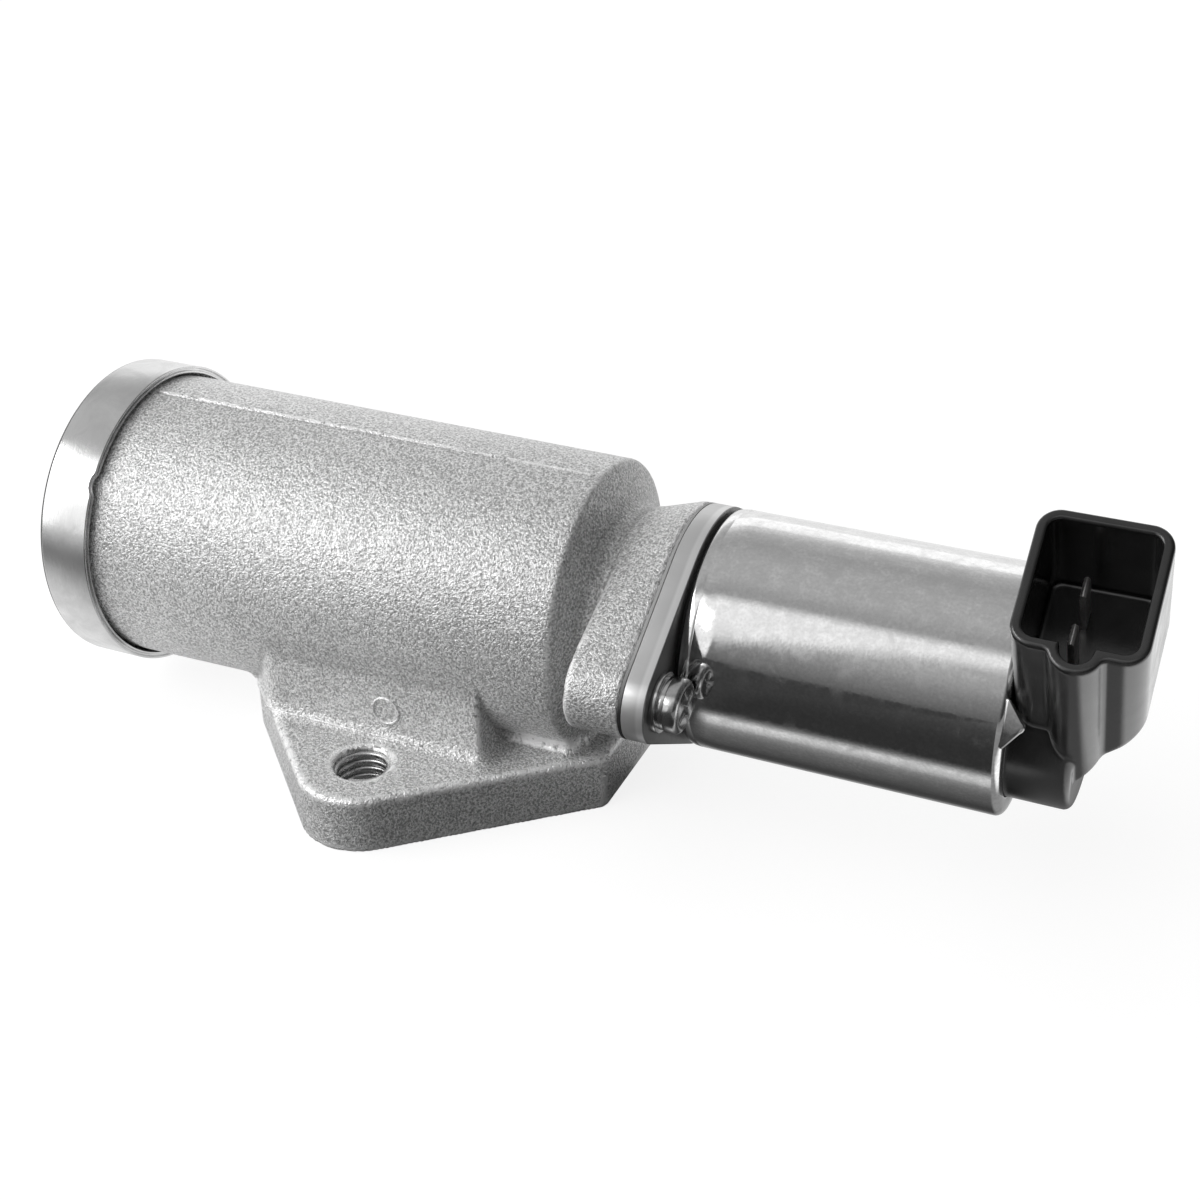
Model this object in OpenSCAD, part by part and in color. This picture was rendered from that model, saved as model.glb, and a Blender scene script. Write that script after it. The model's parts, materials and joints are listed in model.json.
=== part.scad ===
// Idle air control valve: a solenoid moves a sprung poppet in a cast aluminium bypass body.
// Origin: centre of the mounting face, midway between its two tapped holes.
// +Z points up from the mounting face, +X runs along the valve axis to the solenoid's end.

/* [Cast barrel] */
// Radius of the barrel at its open end
barrel_r = 22.6; // [21.5:0.1:24]
// Radius that the barrel loses for each millimetre of its length, its casting draft
barrel_draft = 0.011; // [0:0.001:0.02]
// From the bolt line to the barrel's open end
barrel_left = 54.4; // [53.5:0.1:58]
// From the bolt line to the shoulder at the solenoid's end
barrel_right = 27.2; // [26:0.1:29]
// Length of the sloping shoulder
shoulder_len = 3.2; // [2:0.1:4]
// How far the neck's radius at the shoulder lies inside the can's
neck_inset = 2.5; // [1.5:0.1:2.7]
// Height of the valve axis over the mounting face
axis_h = 27; // [26:0.1:29]
// Width of the raised parting line on the barrel
parting_w = 0.7; // [0.4:0.1:1.2]
// Height of the raised parting line
parting_h = 0.25; // [0.1:0.05:0.4]

/* [Mounting flange] */
// Thickness of the mounting flange
flange_t = 9; // [7:0.1:10]
// Distance between the two tapped holes
bolt_pitch = 56.2; // [54:0.1:60]
// Radius of the flange's rounded ears
ear_r = 9.6; // [8.5:0.1:11]
// From the bolt line to the flange's cut on the cap's side
flange_left = 27.8; // [26.5:0.1:30]
// From the bolt line to the flange's cut on the solenoid's side
flange_right = 32.3; // [30:0.1:34]
// Half length of the two cut sides
cut_half = 13; // [10:0.1:15]
// Radius of the M8 tapped holes at the thread's crests
thread_r = 3.4; // [3:0.05:4]
// Radius of the tapped holes' mouths
thread_mouth_r = 4.3; // [4.1:0.05:5]
// Radius of the inner corners where walls meet the flange
fillet_r = 2.4; // [1:0.1:2.5]

/* [Port block] */
// How far the block's side walls lie inside the barrel's radius
block_inset = 1.4; // [1.2:0.1:2.6]
// From the bolt line to the block's end on the cap's side
block_left = 26.3; // [25.5:0.1:27]
// From the bolt line to the block's end on the solenoid's side
block_right = 15.8; // [13:0.1:17]
// Radius of the raised casting ring on the block's front
mark_r = 2.4; // [1.5:0.1:3]
// Place of the inlet port along the axis
inlet_x = -16.5; // [-18:0.1:-16]
// Place of the outlet port along the axis
outlet_x = 4.5; // [4:0.1:5.5]
// Radius of the two air ports
port_r = 6.5; // [5:0.1:7]

/* [Bores] */
// Wall of the barrel round the spring chamber behind the end cap
barrel_wall = 3.6; // [3:0.1:4.6]
// Width of the step that the bulkhead rests on
step_w = 2; // [1.5:0.1:3]
// Least wall of the neck round the outlet chamber
neck_wall = 1.5; // [1.4:0.1:2.5]
// Place of the step that the bulkhead rests on
step_x = -24.5; // [-25:0.1:-24]
// Place of the seat web's side towards the inlet
web_x = -9; // [-9.5:0.1:-8.5]
// Thickness of the seat web
web_t = 5; // [4:0.1:5.5]

/* [End cap] */
// Thickness of the pressed steel cap
cap_t = 1.5; // [1:0.1:1.8]
// Length of the cap's skirt
cap_len = 8.8; // [7:0.1:11]
// Radius of the cap's rounded edge
cap_bend = 1; // [0.6:0.1:1.4]
// Thickness of the sealing ring under the cap
cap_seal_t = 1.6; // [1:0.1:2]

/* [Solenoid] */
// Thickness of the casting's diamond flange
diamond_t = 8.2; // [7:0.1:9]
// From the bolt line to the diamond flange
diamond_x = 32.2; // [31.5:0.1:33]
// How far the diamond flange's middle stands over the neck at its thin end
flare_step = 0.3; // [0.2:0.1:1]
// Radius of the diamond flange's lobes
lobe_r = 6; // [5.5:0.1:7]
// Gap between the can and the screw heads
screw_gap = 0.4; // [0.3:0.1:1]
// Thickness of the gasket
gasket_t = 0.5; // [0.3:0.1:1]
// Thickness of the steel mounting plate
plate_t = 3.3; // [2.5:0.1:4]
// Thickness of the black ring between the plate and the can
can_seal_t = 0.6; // [0.4:0.1:1.2]
// Outer radius of the solenoid's can
can_r = 17.5; // [17:0.1:18]
// Sheet thickness of the can
can_t = 1.2; // [0.8:0.1:1.4]
// Length of the can
can_len = 44.8; // [44:0.1:48]
// Length over which the can's closed end narrows
can_bend = 2.4; // [1.4:0.1:3]
// How much its radius narrows there
can_drop = 0.8; // [0.4:0.1:1]
// Radius of the rolled rim's rounded edge
rim_bend = 1.1; // [0.8:0.1:1.5]
// Width of the can's rolled rim round the connector's base
rim_w = 2.9; // [2.3:0.1:3.5]
// Angle of the two staked tongues of the can's rim from the socket
tongue_angle = 39; // [36:1:50]
// How far the staked tongues reach past the rim
tongue_reach = 2.4; // [1:0.1:3]
// Half width of the staked tongues
tongue_half = 3.2; // [2:0.1:4]

/* [Screws] */
// Radius of the M4 screws' shanks
screw_r = 2; // [1.5:0.05:2.2]
// Radius of the pan heads
head_r = 3.9; // [3.5:0.1:4.2]
// Height of the pan heads
head_h = 2.1; // [1.8:0.1:3]
// Depth that the screws reach into the casting
screw_grip = 7; // [5:0.1:7.5]
// Radius of the flat washers
washer_r = 4.3; // [4:0.1:4.4]
// Thickness of the flat washers
washer_t = 0.8; // [0.5:0.1:1]
// Radius of the split lock washers
lock_r = 3.7; // [3.3:0.1:3.9]
// Thickness of the split lock washers
lock_t = 0.9; // [0.6:0.1:1.1]
// Gap of the split in a lock washer
split_w = 0.6; // [0.3:0.1:1]

/* [Connector] */
// Length of the round base beyond the can
base_len = 8.6; // [7:0.1:10]
// Turn of the socket from straight up towards the front, in degrees
socket_tilt = 35; // [0:1:60]
// Height of the socket's mouth over the valve axis
mouth_h = 35.5; // [33:0.1:38]
// Outer length of the socket along the valve axis
socket_l = 16.4; // [16:0.1:18]
// Outer width of the socket across the valve axis
socket_w = 18.8; // [18:0.1:20.5]
// Wall thickness of the socket
socket_t = 1.4; // [1:0.1:1.8]
// Outer corner radius of the socket
socket_corner = 3; // [2:0.1:4]
// Height over the valve axis up to which the wall under the socket slopes
slope_h = 13.3; // [12:0.1:15]
// Depth of the socket
socket_depth = 17; // [14:0.1:18]
// Radius of the half-round key rib on the socket's front wall
key_r = 3.4; // [2.5:0.1:3.8]
// Width of a terminal blade
blade_w = 2.8; // [2:0.1:3.5]
// Thickness of a terminal blade
blade_t = 0.8; // [0.5:0.1:1.2]
// Length of a blade over the socket's floor
blade_l = 9.5; // [7:0.1:11]
// Distance between the two blades' middles
blade_pitch = 6.6; // [6:0.1:8]

/* [Valve train] */
// Radius of the valve's stem
stem_r = 2.5; // [2:0.1:3]
// Radius of the seat ring's hole
seat_hole_r = 8; // [7:0.1:8.5]
// Radius of the seat ring
seat_r = 11; // [10.5:0.1:11.5]
// Radius of the valve disc
disc_r = 9.6; // [9.3:0.1:10]
// Thickness of the valve disc
disc_t = 2.4; // [2:0.1:3]
// Thickness of the disc's rubber facing
facing_t = 0.8; // [0.5:0.1:1.2]
// Travel of the valve
travel = 3.5; // [2:0.1:4.2]
// Radius of the solenoid's core as a share of the can's inner radius
core_share = 0.546; // [0.5:0.01:0.6]
// Length of the armature
armature_len = 20; // [16:0.5:21]
// Mean radius of the return spring's coils
spring_r = 6; // [5:0.1:7]
// Radius of the return spring's wire
wire_r = 0.6; // [0.4:0.05:0.8]
// Number of turns in the return spring
spring_turns = 5; // [4:1:6]
// Length of the return spring with the valve shut
spring_len = 12; // [11.5:0.1:12.2]
// Thickness of the bulkhead
bulkhead_t = 5; // [4:0.1:6]
// Thickness of the plate that carries the adjusting screw
carrier_t = 3; // [2.5:0.1:4]
// Radius of the adjusting screw
adjuster_r = 4; // [3:0.1:5]
// Thickness of the adjuster's lock nut
nut_t = 2.2; // [2:0.1:3]
// Width across the flats of the lock nut
nut_w = 13; // [12:0.1:15]

/* [Clearances] */
// Radial gap of parts that are pressed or located together
fit_gap = 0.03; // [0.01:0.01:0.06]
// Radial gap of parts that slide
slide_gap = 0.06; // [0.03:0.01:0.09]
// Radial gap of the screws in the parts that they clamp
screw_play = 0.2; // [0.1:0.01:0.3]

/* [Hidden] */
$fn = 96;
// A cut reaches this far past the face that it opens
cut = 1;

// Sizes that follow from the named ones, so that fitted pieces keep their walls and gaps
rear_bore_r = barrel_r - barrel_wall;
inlet_bore_r = rear_bore_r - step_w;
neck_r = can_r - neck_inset;
outlet_bore_r = neck_r - neck_wall;
block_half = barrel_r - block_inset;
base_r = can_r - rim_w;
rim_gap = 0.1;
screw_y = can_r + head_r + screw_gap;
flare_crease = 0.12;

// Places along the valve axis, from the bolt line
gasket_x = diamond_x + diamond_t;
plate_x = gasket_x + gasket_t;
can_seal_x = plate_x + plate_t;
can_x = can_seal_x + can_seal_t;
can_end = can_x + can_len;
base_end = can_end + base_len;
block_len = block_left + block_right;
bulkhead_x = step_x - bulkhead_t;

// Radius of the barrel at a place x
function barrel_at(x) = barrel_r - barrel_draft * (x + barrel_left);

// Radii inside the solenoid
can_inner_r = can_r - can_t;
core_r = core_share * can_inner_r;
core_hole_r = core_r + fit_gap;
core_gap = 0.2;
bobbin_in_r = core_r + core_gap;
bobbin_wall = 1.1;
bobbin_tube_r = bobbin_in_r + bobbin_wall;
winding_gap = 0.8;
winding_r = can_inner_r - winding_gap;
sleeve_t = 0.8;
sleeve_gap = 0.1;
armature_r = core_r - sleeve_t - sleeve_gap;
sleeve_in_r = armature_r + slide_gap;
sleeve_r = sleeve_in_r + sleeve_t;
nose_r = outlet_bore_r - fit_gap;
flux_gap = 0.1;
flux_r = can_inner_r - flux_gap;

// Places inside the solenoid: its core, shim, armature, closing ring and the connector's plug
nose_in = 1.8;
nose_x = diamond_x + nose_in;
core_len = 13;
core_end = can_x + core_len;
shim_t = 0.3;
shim_gap = 0.4;
shim_hole = 0.45;
armature_gap = 0.2;
armature_x = core_end + shim_t + travel + armature_gap;
armature_end = armature_x + armature_len;
flux_t = 2.6;
plug_t = 3;
lip_t = 1.1;
plug_x = can_end - lip_t - plug_t;
flux_x = plug_x - flux_t;
bobbin_flange_t = 1.4;
bobbin_x = can_x + can_t;

// Round sealing rings of the core and the connector, and the grooves that they lie in
seal_d = 1.5;
seal_w = 1.9;
seal_play = 0.02;
core_groove_in = 2.2;
core_groove_x = nose_x + core_groove_in;
plug_mid = plug_x + plug_t / 2;

// Poppet: the disc rests this far from the seat, and clips hold it and the spring's retainer
rest_gap = 0.02;
disc_x = web_x - rest_gap - facing_t - disc_t;
facing_x = disc_x + disc_t;
clip_t = facing_t;
clip_w = 1.6;
clip_r = stem_r + clip_w;
groove_d = 0.6;
collar_t = 1.5;

// Bushes that guide the stem
bush_wall = 2.2;
bush_r = stem_r + slide_gap + bush_wall;
bush_rim = 2;
bush_flange_r = bush_r + bush_rim;
bush_flange_t = 1.2;
bush_in = 0.5;
front_bush_len = 14;

// Spring, its retainer and cup, and the adjuster behind them
stroke_gap = 1;
retainer_t = 1.2;
retainer_rim = 0.6;
retainer_r = spring_r + wire_r + retainer_rim;
retainer_x = bulkhead_x - bush_flange_t - stroke_gap - clip_t - retainer_t;
stem_out = 3;
stem_left = retainer_x - stem_out;
spring_x = retainer_x - spring_len;
cup_t = 1.2;
cup_wall = 0.8;
cup_rim = 2.4;
cup_gap = 0.3;
cup_x = spring_x - cup_t;
carrier_gap = 0.8;
carrier_r = rear_bore_r - fit_gap;
carrier_x = cup_x - carrier_gap - carrier_t;
nut_x = carrier_x - nut_t;
adjuster_out = 0.8;
adjuster_x = nut_x - adjuster_out;
adjuster_hole_r = adjuster_r + fit_gap;

// The socket's own axes: its middle along the valve axis, its floor's height, the blades and the key rib
tower_in = 0.3;
tower_x = can_end + tower_in;
socket_x = tower_x + socket_l / 2;
floor_h = mouth_h - socket_depth;
blade_shift = 1.6;
blade_x = socket_x - blade_shift;
key_in = 1;
key_y = key_in - socket_w / 2;

// Raised ring on the block's front wall
mark_x = 0.5;
mark_z = 14;
mark_w = 0.5;
mark_h = 0.3;

// Turns a shape that was drawn round Z so that it lies along the valve axis from x
module along_axis(x = 0) {
    translate([x, 0, axis_h]) rotate([0, 90, 0]) children();
}

// A ring along the valve axis from x, of length l
module ring(x, l, r_out, r_in) {
    along_axis(x) difference() {
        cylinder(r = r_out, h = l);
        translate([0, 0, -cut]) cylinder(r = r_in, h = l + 2 * cut);
    }
}

// A disc along the valve axis from x, of length l
module disc(x, l, r) {
    along_axis(x) cylinder(r = r, h = l);
}

// A solid turned round the valve axis from [place, radius] points
module turned(points) {
    along_axis() rotate_extrude() polygon([for (p = points) [p[1], p[0]]]);
}

// The point where a line from p touches the circle of radius r round c, on the side s
function touch(c, r, p, s) =
    let (d = norm(p - c), a = atan2(p[1] - c[1], p[0] - c[0]) + s * acos(r / d))
    c + r * [cos(a), sin(a)];

// The outline of a diamond flange with the given radius in its middle, across the valve axis
module diamond_outline(middle_r) {
    a = acos((middle_r - lobe_r) / screw_y);
    circle(r = middle_r);
    for (s = [-1, 1]) {
        translate([s * screw_y, 0]) circle(r = lobe_r);
        polygon([for (p = [[middle_r, 1, 0], [lobe_r, 1, 1], [lobe_r, -1, 1], [middle_r, -1, 0]])
            [s * (p[2] * screw_y + p[0] * cos(a)), -s * p[1] * p[0] * sin(a)]]);
    }
}

// A diamond plate across the valve axis from x, with the given centre hole and screw holes
module diamond_plate(x, t, hole_r, screw_hole_r) {
    translate([x, 0, axis_h]) rotate([90, 0, 90]) difference() {
        linear_extrude(t) diamond_outline(can_r);
        translate([0, 0, -cut]) cylinder(r = hole_r, h = t + 2 * cut);
        for (s = [-1, 1]) translate([s * screw_y, 0, -cut]) cylinder(r = screw_hole_r, h = t + 2 * cut);
    }
}

// One tapered side of a flange's arm: from the given lean outwards, and up to a plane that rises from r
module arm_side(lean, r, slope) {
    l = diamond_t + 2 * cut;
    translate([0, 0, -cut]) rotate([0, 0, -lean]) rotate([90, 0, 90]) linear_extrude(2 * screw_y)
        polygon([[-screw_y, 0], [r - slope * cut, 0], [r + slope * (l - cut), l], [-screw_y, l]]);
}

// The casting's own diamond flange: a cone from the neck to the gasket, with an arm out to each lobe
module flared_flange() {
    start = neck_r + flare_step;
    slope = (can_r + flare_step - start) / diamond_t;
    arm = start - flare_crease;
    lean = asin((arm - lobe_r - flare_step) / screw_y);
    translate([diamond_x, 0, axis_h]) rotate([90, 0, 90]) intersection() {
        linear_extrude(diamond_t) diamond_outline(can_r);
        union() {
            translate([0, 0, -cut]) cylinder(r1 = start - slope * cut, r2 = start + slope * (diamond_t + cut),
                h = diamond_t + 2 * cut);
            for (s = [0, 1]) mirror([s, 0, 0]) intersection() {
                arm_side(lean, arm, slope);
                mirror([0, 1, 0]) arm_side(lean, arm, slope);
            }
        }
    }
}

// The same shape at both screws, drawn with Z along the screw and 0 at the mounting plate
module at_screws() {
    for (s = [-1, 1]) translate([can_seal_x, s * screw_y, axis_h]) rotate([0, 90, 0]) children();
}

// The outline of the mounting flange: two rounded ears and a square between them, cut at two sides
module flange_outline() {
    ear = bolt_pitch / 2;
    right = [flange_right, cut_half];
    left = [-flange_left, cut_half];
    touch_right = touch([0, ear], ear_r, right, 1);
    touch_left = touch([0, ear], ear_r, left, -1);
    half = [left, touch_left, [0, ear], touch_right, right];
    for (s = [-1, 1]) translate([0, s * ear]) circle(r = ear_r);
    polygon([each half, for (i = [4:-1:0]) [half[i][0], -half[i][1]]]);
}

// A concave fillet of length l along X, in the corner of a wall at y = 0 and a floor at z = 0
module wall_fillet(l) {
    sink = 0.2;
    difference() {
        translate([0, -fillet_r, -sink]) cube([l, fillet_r + sink, fillet_r + sink]);
        translate([-cut, -fillet_r, fillet_r]) rotate([0, 90, 0]) cylinder(r = fillet_r, h = l + 2 * cut);
    }
}

// The barrel with its shoulder and neck, as one turned profile
module barrel() {
    r1 = barrel_at(barrel_right);
    steps = 8;
    hollow = 1.6;
    turned([[-barrel_left, 0], [-barrel_left, barrel_r],
            for (i = [0:steps]) [barrel_right + shoulder_len * i / steps,
                                 neck_r + (r1 - neck_r) * pow(1 - i / steps, hollow)],
            [diamond_x + cut, neck_r], [diamond_x + cut, 0]]);
}

// The raised parting line on the upper side of the barrel
module parting_line() {
    left = cap_len - barrel_left;
    translate([0, parting_w / 2, axis_h]) rotate([90, 0, 0]) linear_extrude(parting_w)
        polygon([[left, rear_bore_r + 1], [barrel_right, rear_bore_r + 1],
                 [barrel_right, barrel_at(barrel_right) + parting_h], [left, barrel_at(left) + parting_h]]);
}

// The port block under the barrel, with fillets at its foot, trimmed to the flange's outline
module port_block() {
    intersection() {
        union() {
            translate([-block_left, -block_half, flange_t - cut])
                cube([block_len, 2 * block_half, axis_h - flange_t + cut]);
            for (s = [0, 1]) mirror([0, s, 0]) translate([-block_left, -block_half, flange_t])
                wall_fillet(block_len);
        }
        linear_extrude(axis_h) flange_outline();
    }
    translate([mark_x, -block_half + cut, mark_z]) rotate([90, 0, 0]) difference() {
        cylinder(r = mark_r, h = cut + mark_h);
        translate([0, 0, -cut]) cylinder(r = mark_r - mark_w, h = 3 * cut + mark_h);
    }
}

// The air ports in the mounting face, and the stepped bore behind them
module air_passages() {
    for (x = [inlet_x, outlet_x]) translate([x, 0, -cut]) cylinder(r = port_r, h = axis_h + cut);
    disc(-barrel_left - cut, barrel_left + step_x + cut, rear_bore_r);
    disc(step_x - cut, web_x - step_x + cut, inlet_bore_r);
    disc(web_x - cut, web_t + 2 * cut, seat_r);
    disc(web_x + web_t, gasket_x - web_x - web_t + cut, outlet_bore_r);
}

module valve_body() color([0.66, 0.66, 0.66]) difference() {
    union() {
        barrel();
        parting_line();
        port_block();
        linear_extrude(flange_t) flange_outline();
        flared_flange();
    }
    air_passages();
    for (s = [-1, 1]) translate([0, s * bolt_pitch / 2, -cut]) {
        chamfer_h = thread_mouth_r - thread_r;
        cylinder(r = thread_r, h = flange_t + 2 * cut);
        translate([0, 0, flange_t + cut - chamfer_h])
            cylinder(r1 = thread_r, r2 = thread_mouth_r, h = chamfer_h);
        translate([0, 0, flange_t + cut]) cylinder(r = thread_mouth_r, h = fillet_r);
    }
    at_screws() translate([0, 0, -can_seal_x + diamond_x - cut])
        cylinder(r = screw_r + fit_gap, h = diamond_t + 2 * cut);
}

// Pressed steel cup over the barrel's open end
module end_cap() color([0.86, 0.86, 0.87]) {
    face = -barrel_left - cap_seal_t;
    inner = barrel_r + fit_gap;
    outer = inner + cap_t;
    end = face - cap_t + cap_len;
    turned([[face - cap_t, 0],
            for (a = [0:15:90]) [face - cap_t + cap_bend * (1 - cos(a)), outer - cap_bend * (1 - sin(a))],
            [end, outer], [end, inner], [face, inner], [face, 0]]);
}

module cap_seal() color([0.1, 0.1, 0.1]) {
    edge = 0.3;
    ring(-barrel_left - cap_seal_t, cap_seal_t, barrel_r - edge, rear_bore_r + edge);
}

module valve_seat() color([0.78, 0.65, 0.35])
    ring(web_x, web_t, seat_r - fit_gap, seat_hole_r);

// Turned disc that closes the spring chamber and holds the rear bush, with a relief in its outer face
module bulkhead() color([0.72, 0.72, 0.73]) difference() {
    rim = 3;
    hub = 2.5;
    ring(bulkhead_x, bulkhead_t, rear_bore_r - fit_gap, bush_r + fit_gap);
    ring(bulkhead_x - cut, cut + bulkhead_t / 2, rear_bore_r - rim, bush_flange_r + hub);
}

// A flanged bush from x, with its flange first
module flanged_bush(x, l) {
    hole = stem_r + slide_gap;
    turned([[x, hole], [x, bush_flange_r], [x + bush_flange_t, bush_flange_r], [x + bush_flange_t, bush_r],
            [x + l, bush_r], [x + l, hole]]);
}

module rear_guide_bush() color([0.78, 0.65, 0.35]) {
    proud = 1;
    flanged_bush(bulkhead_x - bush_flange_t, bush_flange_t + bulkhead_t + proud);
}

// Plate across the spring chamber that the adjusting screw is threaded into
module adjuster_carrier() color([0.7, 0.71, 0.72]) difference() {
    vent_r = 2.5;
    vent_circle = 0.62 * carrier_r;
    ring(carrier_x, carrier_t, carrier_r, adjuster_hole_r);
    for (a = [45:90:315]) along_axis(carrier_x - cut) rotate(a) translate([vent_circle, 0, 0])
        cylinder(r = vent_r, h = carrier_t + 2 * cut);
}

// Set screw with a driving slot, pushing on the spring cup
module adjusting_screw() color([0.8, 0.8, 0.82]) difference() {
    slot_w = 1;
    slot_d = 1.6;
    disc(adjuster_x, cup_x - adjuster_x, adjuster_r);
    along_axis(adjuster_x - cut) translate([-adjuster_r - cut, -slot_w / 2, 0])
        cube([2 * (adjuster_r + cut), slot_w, cut + slot_d]);
}

module adjuster_locknut() color([0.8, 0.8, 0.82]) along_axis(nut_x) difference() {
    cylinder(r = nut_w / 2 / cos(30), h = nut_t, $fn = 6);
    translate([0, 0, -cut]) cylinder(r = adjuster_hole_r, h = nut_t + 2 * cut);
}

// Dished washer that locates the spring's outer end
module spring_cup() color([0.8, 0.8, 0.82]) {
    inner = spring_r + wire_r + cup_gap;
    end = spring_x + cup_rim;
    turned([[cup_x, 0], [cup_x, inner + cup_wall], [end, inner + cup_wall], [end, inner],
            [spring_x, inner], [spring_x, 0]]);
}

// Round wire wound as a helix between the cup and the retainer
module return_spring() color([0.75, 0.76, 0.78]) {
    sides = 8;
    per_turn = 16;
    rings = spring_turns * per_turn;
    play = 0.02;
    rise = (spring_len - 2 * wire_r - 2 * play) / rings;
    points = [for (i = [0:rings], k = [0:sides - 1])
        let (a = 360 * i / per_turn, b = 360 * k / sides, r = spring_r + wire_r * cos(b))
            [spring_x + wire_r + play + rise * i + wire_r * sin(b), r * cos(a), axis_h + r * sin(a)]];
    walls = [for (i = [0:rings - 1], k = [0:sides - 1])
        let (n = (k + 1) % sides) [i * sides + k, (i + 1) * sides + k, (i + 1) * sides + n, i * sides + n]];
    polyhedron(points, [[for (k = [0:sides - 1]) k], each walls,
                        [for (k = [sides - 1:-1:0]) rings * sides + k]]);
}

module spring_retainer() color([0.8, 0.8, 0.82])
    ring(retainer_x, retainer_t, retainer_r, stem_r + fit_gap);

// Open clip that snaps into a groove of the stem
module stem_clip(x) {
    play = 0.01;
    mouth = 2;
    difference() {
        ring(x + play, clip_t - 2 * play, clip_r, stem_r - groove_d + fit_gap);
        along_axis(x - cut) translate([0, -mouth / 2, 0]) cube([clip_r + cut, mouth, clip_t + 2 * cut]);
    }
}

module retainer_clip() color([0.7, 0.71, 0.72]) stem_clip(retainer_x + retainer_t);

module disc_clip() color([0.7, 0.71, 0.72]) stem_clip(facing_x);

// Turned stem with a collar behind the disc and a groove for each clip
module valve_stem() color([0.82, 0.82, 0.84]) {
    low = stem_r - groove_d;
    collar_r = stem_r + collar_t;
    tip = 0.5;
    clip_x = retainer_x + retainer_t;
    turned([[stem_left, 0], [stem_left, stem_r - tip], [stem_left + tip, stem_r],
            [clip_x, stem_r], [clip_x, low], [clip_x + clip_t, low], [clip_x + clip_t, stem_r],
            [disc_x - collar_t, stem_r], [disc_x - collar_t, collar_r], [disc_x, collar_r],
            [disc_x, stem_r], [facing_x, stem_r], [facing_x, low], [facing_x + clip_t, low],
            [facing_x + clip_t, stem_r], [armature_end, stem_r], [armature_end, 0]]);
}

module valve_disc() color([0.78, 0.65, 0.35]) {
    slope = [0.8, 1.2];
    turned([[disc_x, stem_r + fit_gap], [disc_x, disc_r - slope[1]], [disc_x + slope[0], disc_r],
            [disc_x + disc_t, disc_r], [disc_x + disc_t, stem_r + fit_gap]]);
}

module disc_facing() color([0.08, 0.08, 0.08]) {
    outer_gap = 0.2;
    inner_gap = 0.4;
    ring(facing_x, facing_t, disc_r - outer_gap, clip_r + inner_gap);
}

module solenoid_gasket() color([0.06, 0.06, 0.06])
    diamond_plate(gasket_x, gasket_t, outlet_bore_r, screw_r + screw_play);

module solenoid_plate() color([0.6, 0.61, 0.62])
    diamond_plate(plate_x, plate_t, core_hole_r, screw_r + screw_play);

module flat_washers() color([0.8, 0.8, 0.8]) at_screws() difference() {
    cylinder(r = washer_r, h = washer_t);
    translate([0, 0, -cut]) cylinder(r = screw_r + screw_play, h = washer_t + 2 * cut);
}

module lock_washers() color([0.8, 0.8, 0.8]) at_screws() translate([0, 0, washer_t]) difference() {
    cylinder(r = lock_r, h = lock_t);
    translate([0, 0, -cut]) cylinder(r = screw_r + screw_play, h = lock_t + 2 * cut);
    translate([0, -split_w / 2, -cut]) cube([lock_r + cut, split_w, lock_t + 2 * cut]);
}

// Cross-recessed pan heads on round shanks
module solenoid_screws() color([0.82, 0.82, 0.82]) at_screws() difference() {
    seat = washer_t + lock_t;
    round_h = 0.4 * head_h;
    round_w = 1.2 * round_h;
    recess_l = 1.3 * head_r;
    recess_w = 1.1;
    recess_d = 1.5;
    recess_turn = 20;
    rotate_extrude() polygon([
        [0, -plate_t - gasket_t - screw_grip], [screw_r, -plate_t - gasket_t - screw_grip],
        [screw_r, seat], [head_r, seat],
        for (a = [0:15:90]) [head_r - round_w * (1 - cos(a)), seat + head_h - round_h * (1 - sin(a))],
        [0, seat + head_h]]);
    for (a = [0, 90]) rotate(a + recess_turn)
        translate([-recess_l / 2, -recess_w / 2, seat + head_h - recess_d])
            cube([recess_l, recess_w, recess_d + cut]);
}

module can_seal() color([0.05, 0.05, 0.05]) {
    recess = 0.6;
    ring(can_seal_x, can_seal_t, can_r - can_drop - recess, core_hole_r);
}

// Drawn steel can, open at the connector's end, where its rim is rolled in and staked
module solenoid_can() color([0.8, 0.8, 0.81]) {
    lip_r = base_r + rim_gap;
    turned([[can_x, core_hole_r],
            for (a = [0:15:90]) [can_x + can_bend * (1 - cos(a)), can_r - can_drop * (1 - sin(a))],
            for (a = [0:15:90]) [can_end - rim_bend * (1 - sin(a)), can_r - rim_bend * (1 - cos(a))],
            [can_end, lip_r], [can_end - lip_t, lip_r], [can_end - lip_t, can_inner_r],
            [can_x + can_t, can_inner_r], [can_x + can_t, core_hole_r]]);
    for (s = [-1, 1]) can_tongue(s);
}

// Staked tongue of the can's rim, a rounded lug bent out over the connector's base beside the socket
module can_tongue(s) {
    sink = 0.5;
    root = 0.6;
    tip_half = 0.75 * tongue_half;
    in_socket() rotate([-s * tongue_angle, 0, 0]) translate([can_end - sink, 0, can_inner_r])
        linear_extrude(can_t) polygon([[0, -tongue_half], [root, -tongue_half], for (a = [-90:15:90])
            [root + tongue_reach * cos(a), tip_half * sin(a)], [root, tongue_half], [0, tongue_half]]);
}

// Fixed core with the nose that plugs the casting's bore
module pole_core() color([0.7, 0.71, 0.72]) {
    hole = bush_r + fit_gap;
    chamfer = 1;
    groove_end = core_groove_x + seal_w;
    turned([[nose_x, hole], [nose_x, nose_r - chamfer], [nose_x + chamfer, nose_r],
            [core_groove_x, nose_r], [core_groove_x, nose_r - seal_d], [groove_end, nose_r - seal_d],
            [groove_end, nose_r], [plate_x, nose_r], [plate_x, core_r], [core_end, core_r],
            [core_end, hole]]);
}

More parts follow.
